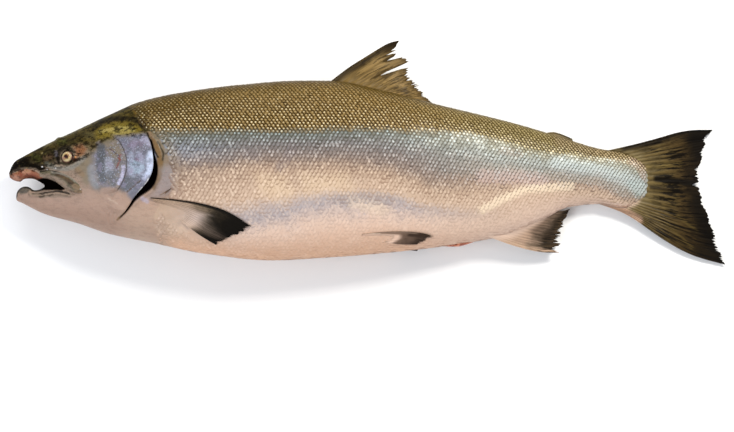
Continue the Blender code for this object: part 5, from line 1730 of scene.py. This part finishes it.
TAIL_TEARS = ((0.336, 0.010, 0.12), (0.376, 0.008, 0.09), (0.428, 0.014, 0.15), (0.52, 0.006, 0.05))
BACK_TEARS = ((0.17, 0.02, 0.3), (0.31, 0.028, 0.62), (0.52, 0.02, 0.28), (0.66, 0.02, 0.22))
ANAL_TEARS = ((0.3, 0.02, 0.16), (0.48, 0.02, 0.2), (0.7, 0.02, 0.14))
upright_fin("tail_fin", CAUDAL_RIBS, tail_web, 24, 40, 11, 0.05, TAIL_TEARS, root=3.6, edge=0.9)
upright_fin("dorsal_fin", DORSAL_RIBS, back_web, 14, 36, 12, 0.14, BACK_TEARS, sag=9.0, fillet=0.5)
upright_fin("anal_fin", ANAL_RIBS, anal_web, 15, 30, 13, 0.10, ANAL_TEARS, sag=5.0, fillet=1.0)
upright_fin("adipose_fin", ADIPOSE_RIBS, soft_web, 2, 14, 14, 0.03, sag=-1.0, edge=1.4, fillet=0.6)
for side, word, hip_shift in ((1, "left", 0.0), (-1, "right", -6.0)):
    lying_fin(f"{word}_pectoral_fin", PECTORAL_RIBS, side_web, 15, 38, side, 15, 0.05, lift=1.3)
    lying_fin(f"{word}_pelvic_fin", PELVIC_RIBS, hip_web, 9, 26, side, 16, 0.08, lift=1.2, shift=hip_shift)
    lying_fin(f"{word}_axillary_scale", AXILLARY_RIBS, hip_web, 1, 12, side, 17, 0.02, lift=1.6)

# %% [markdown]
# ## Eyes
#
# A dead salmon's eye is a shallow dome with a cream and gold iris round an upright oval pupil, wet all over.
# It is a sphere pressed flat, set in the socket of the solid eye. The rings of colour follow the distance
# from its axis, which is stored on the mesh so that both eyes can share one material.

# %% Eyeballs
EYE_BULGE, EYE_HALF_DEPTH = 1.1, 4.4


PUPIL_HALF_WIDTH, PUPIL_HALF_HEIGHT = 1.45, 2.15
IRIS_TONES = (
    (0.34, "#6e4a26"), (0.46, "#a08650"), (0.62, "#b8a67c"), (0.76, "#9c8a68"), (0.85, "#5c4a34"),
    (0.92, "#1b130c"), (1.0, "#0b0805"),
)


def make_eye_material():
    material, tree, shader = new_material("wet eye, cream iris")
    fibres = noise(tree, 0.9)
    place = maths(tree, "ADD", read(tree, "iris"), maths(tree, "MULTIPLY_ADD", fibres, 0.16, -0.08))
    colour = ramp(tree, place, IRIS_TONES)
    colour = mixed(tree, remap(tree, noise(tree, 3.0), 0.46, 0.6, 0.0, 0.7), colour, linear("#8a5f58"))
    colour = mixed(tree, remap(tree, fibres, 0.44, 0.36, 0.0, 0.8), colour, linear("#2a1a10"))
    hole = remap(tree, read(tree, "pupil"), 1.15, 0.9, smooth=True)
    feed(tree, shader, {"Base Color": mixed(tree, hole, colour, linear("#1f0805")), "Roughness": 0.3,
                        "Specular IOR Level": 0.2, "Coat Weight": 0.15, "Coat Roughness": 0.04})
    return material


def make_eye(name, side, material, rings=28, around=48):
    eye_x, eye_y = (np.array([value]) for value in EYE_AT)
    surface = lifted(eye_x, eye_y, side, np.array([0.0]))[0]
    outward = Vector(lifted(eye_x, eye_y, side, np.array([1.0]))[0] - surface).normalized()
    turn = np.array(outward.to_track_quat("Z", "Y").to_matrix())
    lean = np.linspace(0, math.pi, rings + 1)[1:-1, None]
    spin = np.linspace(0, 2 * math.pi, around, endpoint=False)[None]
    ball = np.stack([np.sin(lean) * np.cos(spin), np.sin(lean) * np.sin(spin), np.cos(lean) + 0 * spin], -1)
    pressed = ball * np.array([EYE_RADIUS, EYE_RADIUS, EYE_HALF_DEPTH])
    centre = surface + np.array(outward) * (EYE_BULGE - EYE_HALF_DEPTH)
    mesh = facing_out(wrapped_grid(name, pressed @ turn.T + centre))
    ahead = ball[..., 2] > 0
    oval = np.hypot(pressed[..., 0] / PUPIL_HALF_WIDTH, pressed[..., 1] / PUPIL_HALF_HEIGHT)
    store(mesh, "iris", np.where(ahead, np.hypot(ball[..., 0], ball[..., 1]), 1.2))
    store(mesh, "pupil", np.where(ahead, oval, 9))
    mesh.materials.append(material)
    return new_object(name, mesh)


wet_eye = make_eye_material()
for side, word in ((1, "left"), (-1, "right")):
    dress(make_eye(f"{word}_eyeball", side, wet_eye), f"{word}_eye")
print("eyes at", EYE_AT, "with radius", EYE_RADIUS, "mm")

# %% [markdown]
# ## The vent
#
# Just ahead of the anal fin the belly has a soft orange fold with a dark red opening. It is a small slab that
# lies along the belly's edge.

# %% The fold of the vent
VENT_LINE = ((66, -85.5), (76, -85.4), (86, -84.2), (96, -81.6), (104, -79.6))
VENT_REACH = (0.4, 2.0, 3.1, 2.2, 0.4)


VENT_POINTS, VENT_AROUND = 30, 20


def make_vent(material):
    share = np.linspace(0, 1, VENT_POINTS)
    x, y = on_line(rounded(VENT_LINE), share).T[..., None]
    reach = np.interp(share, np.linspace(0, 1, len(VENT_REACH)), VENT_REACH)[:, None]
    turn = np.linspace(0, 2 * math.pi, VENT_AROUND, endpoint=False)[None]
    rings = np.stack([x + 0 * turn, y + reach * 0.75 * np.cos(turn),
                      through(MIDDLE_HEIGHT, x) + reach * 1.3 * np.sin(turn)], -1)
    mesh = facing_out(wrapped_grid("vent", rings))
    mesh.materials.append(material)
    dress(new_object("vent", mesh))


flesh, tree, shader = new_material("raw pink flesh")
tone = ramp(tree, noise(tree, 4.0), ((0.38, "#7a2c1e"), (0.5, "#c06a45"), (0.64, "#d99a76")))
feed(tree, shader, {"Base Color": tone, "Roughness": 0.35, "Coat Weight": 0.4})
make_vent(flesh)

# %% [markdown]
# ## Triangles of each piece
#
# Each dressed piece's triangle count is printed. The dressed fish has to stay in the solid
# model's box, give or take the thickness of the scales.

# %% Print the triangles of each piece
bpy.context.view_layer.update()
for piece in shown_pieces():
    if piece.type == "MESH" and piece.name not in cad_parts:
        print(f"{piece.name:24s} {triangles(piece.data):7d} triangles")
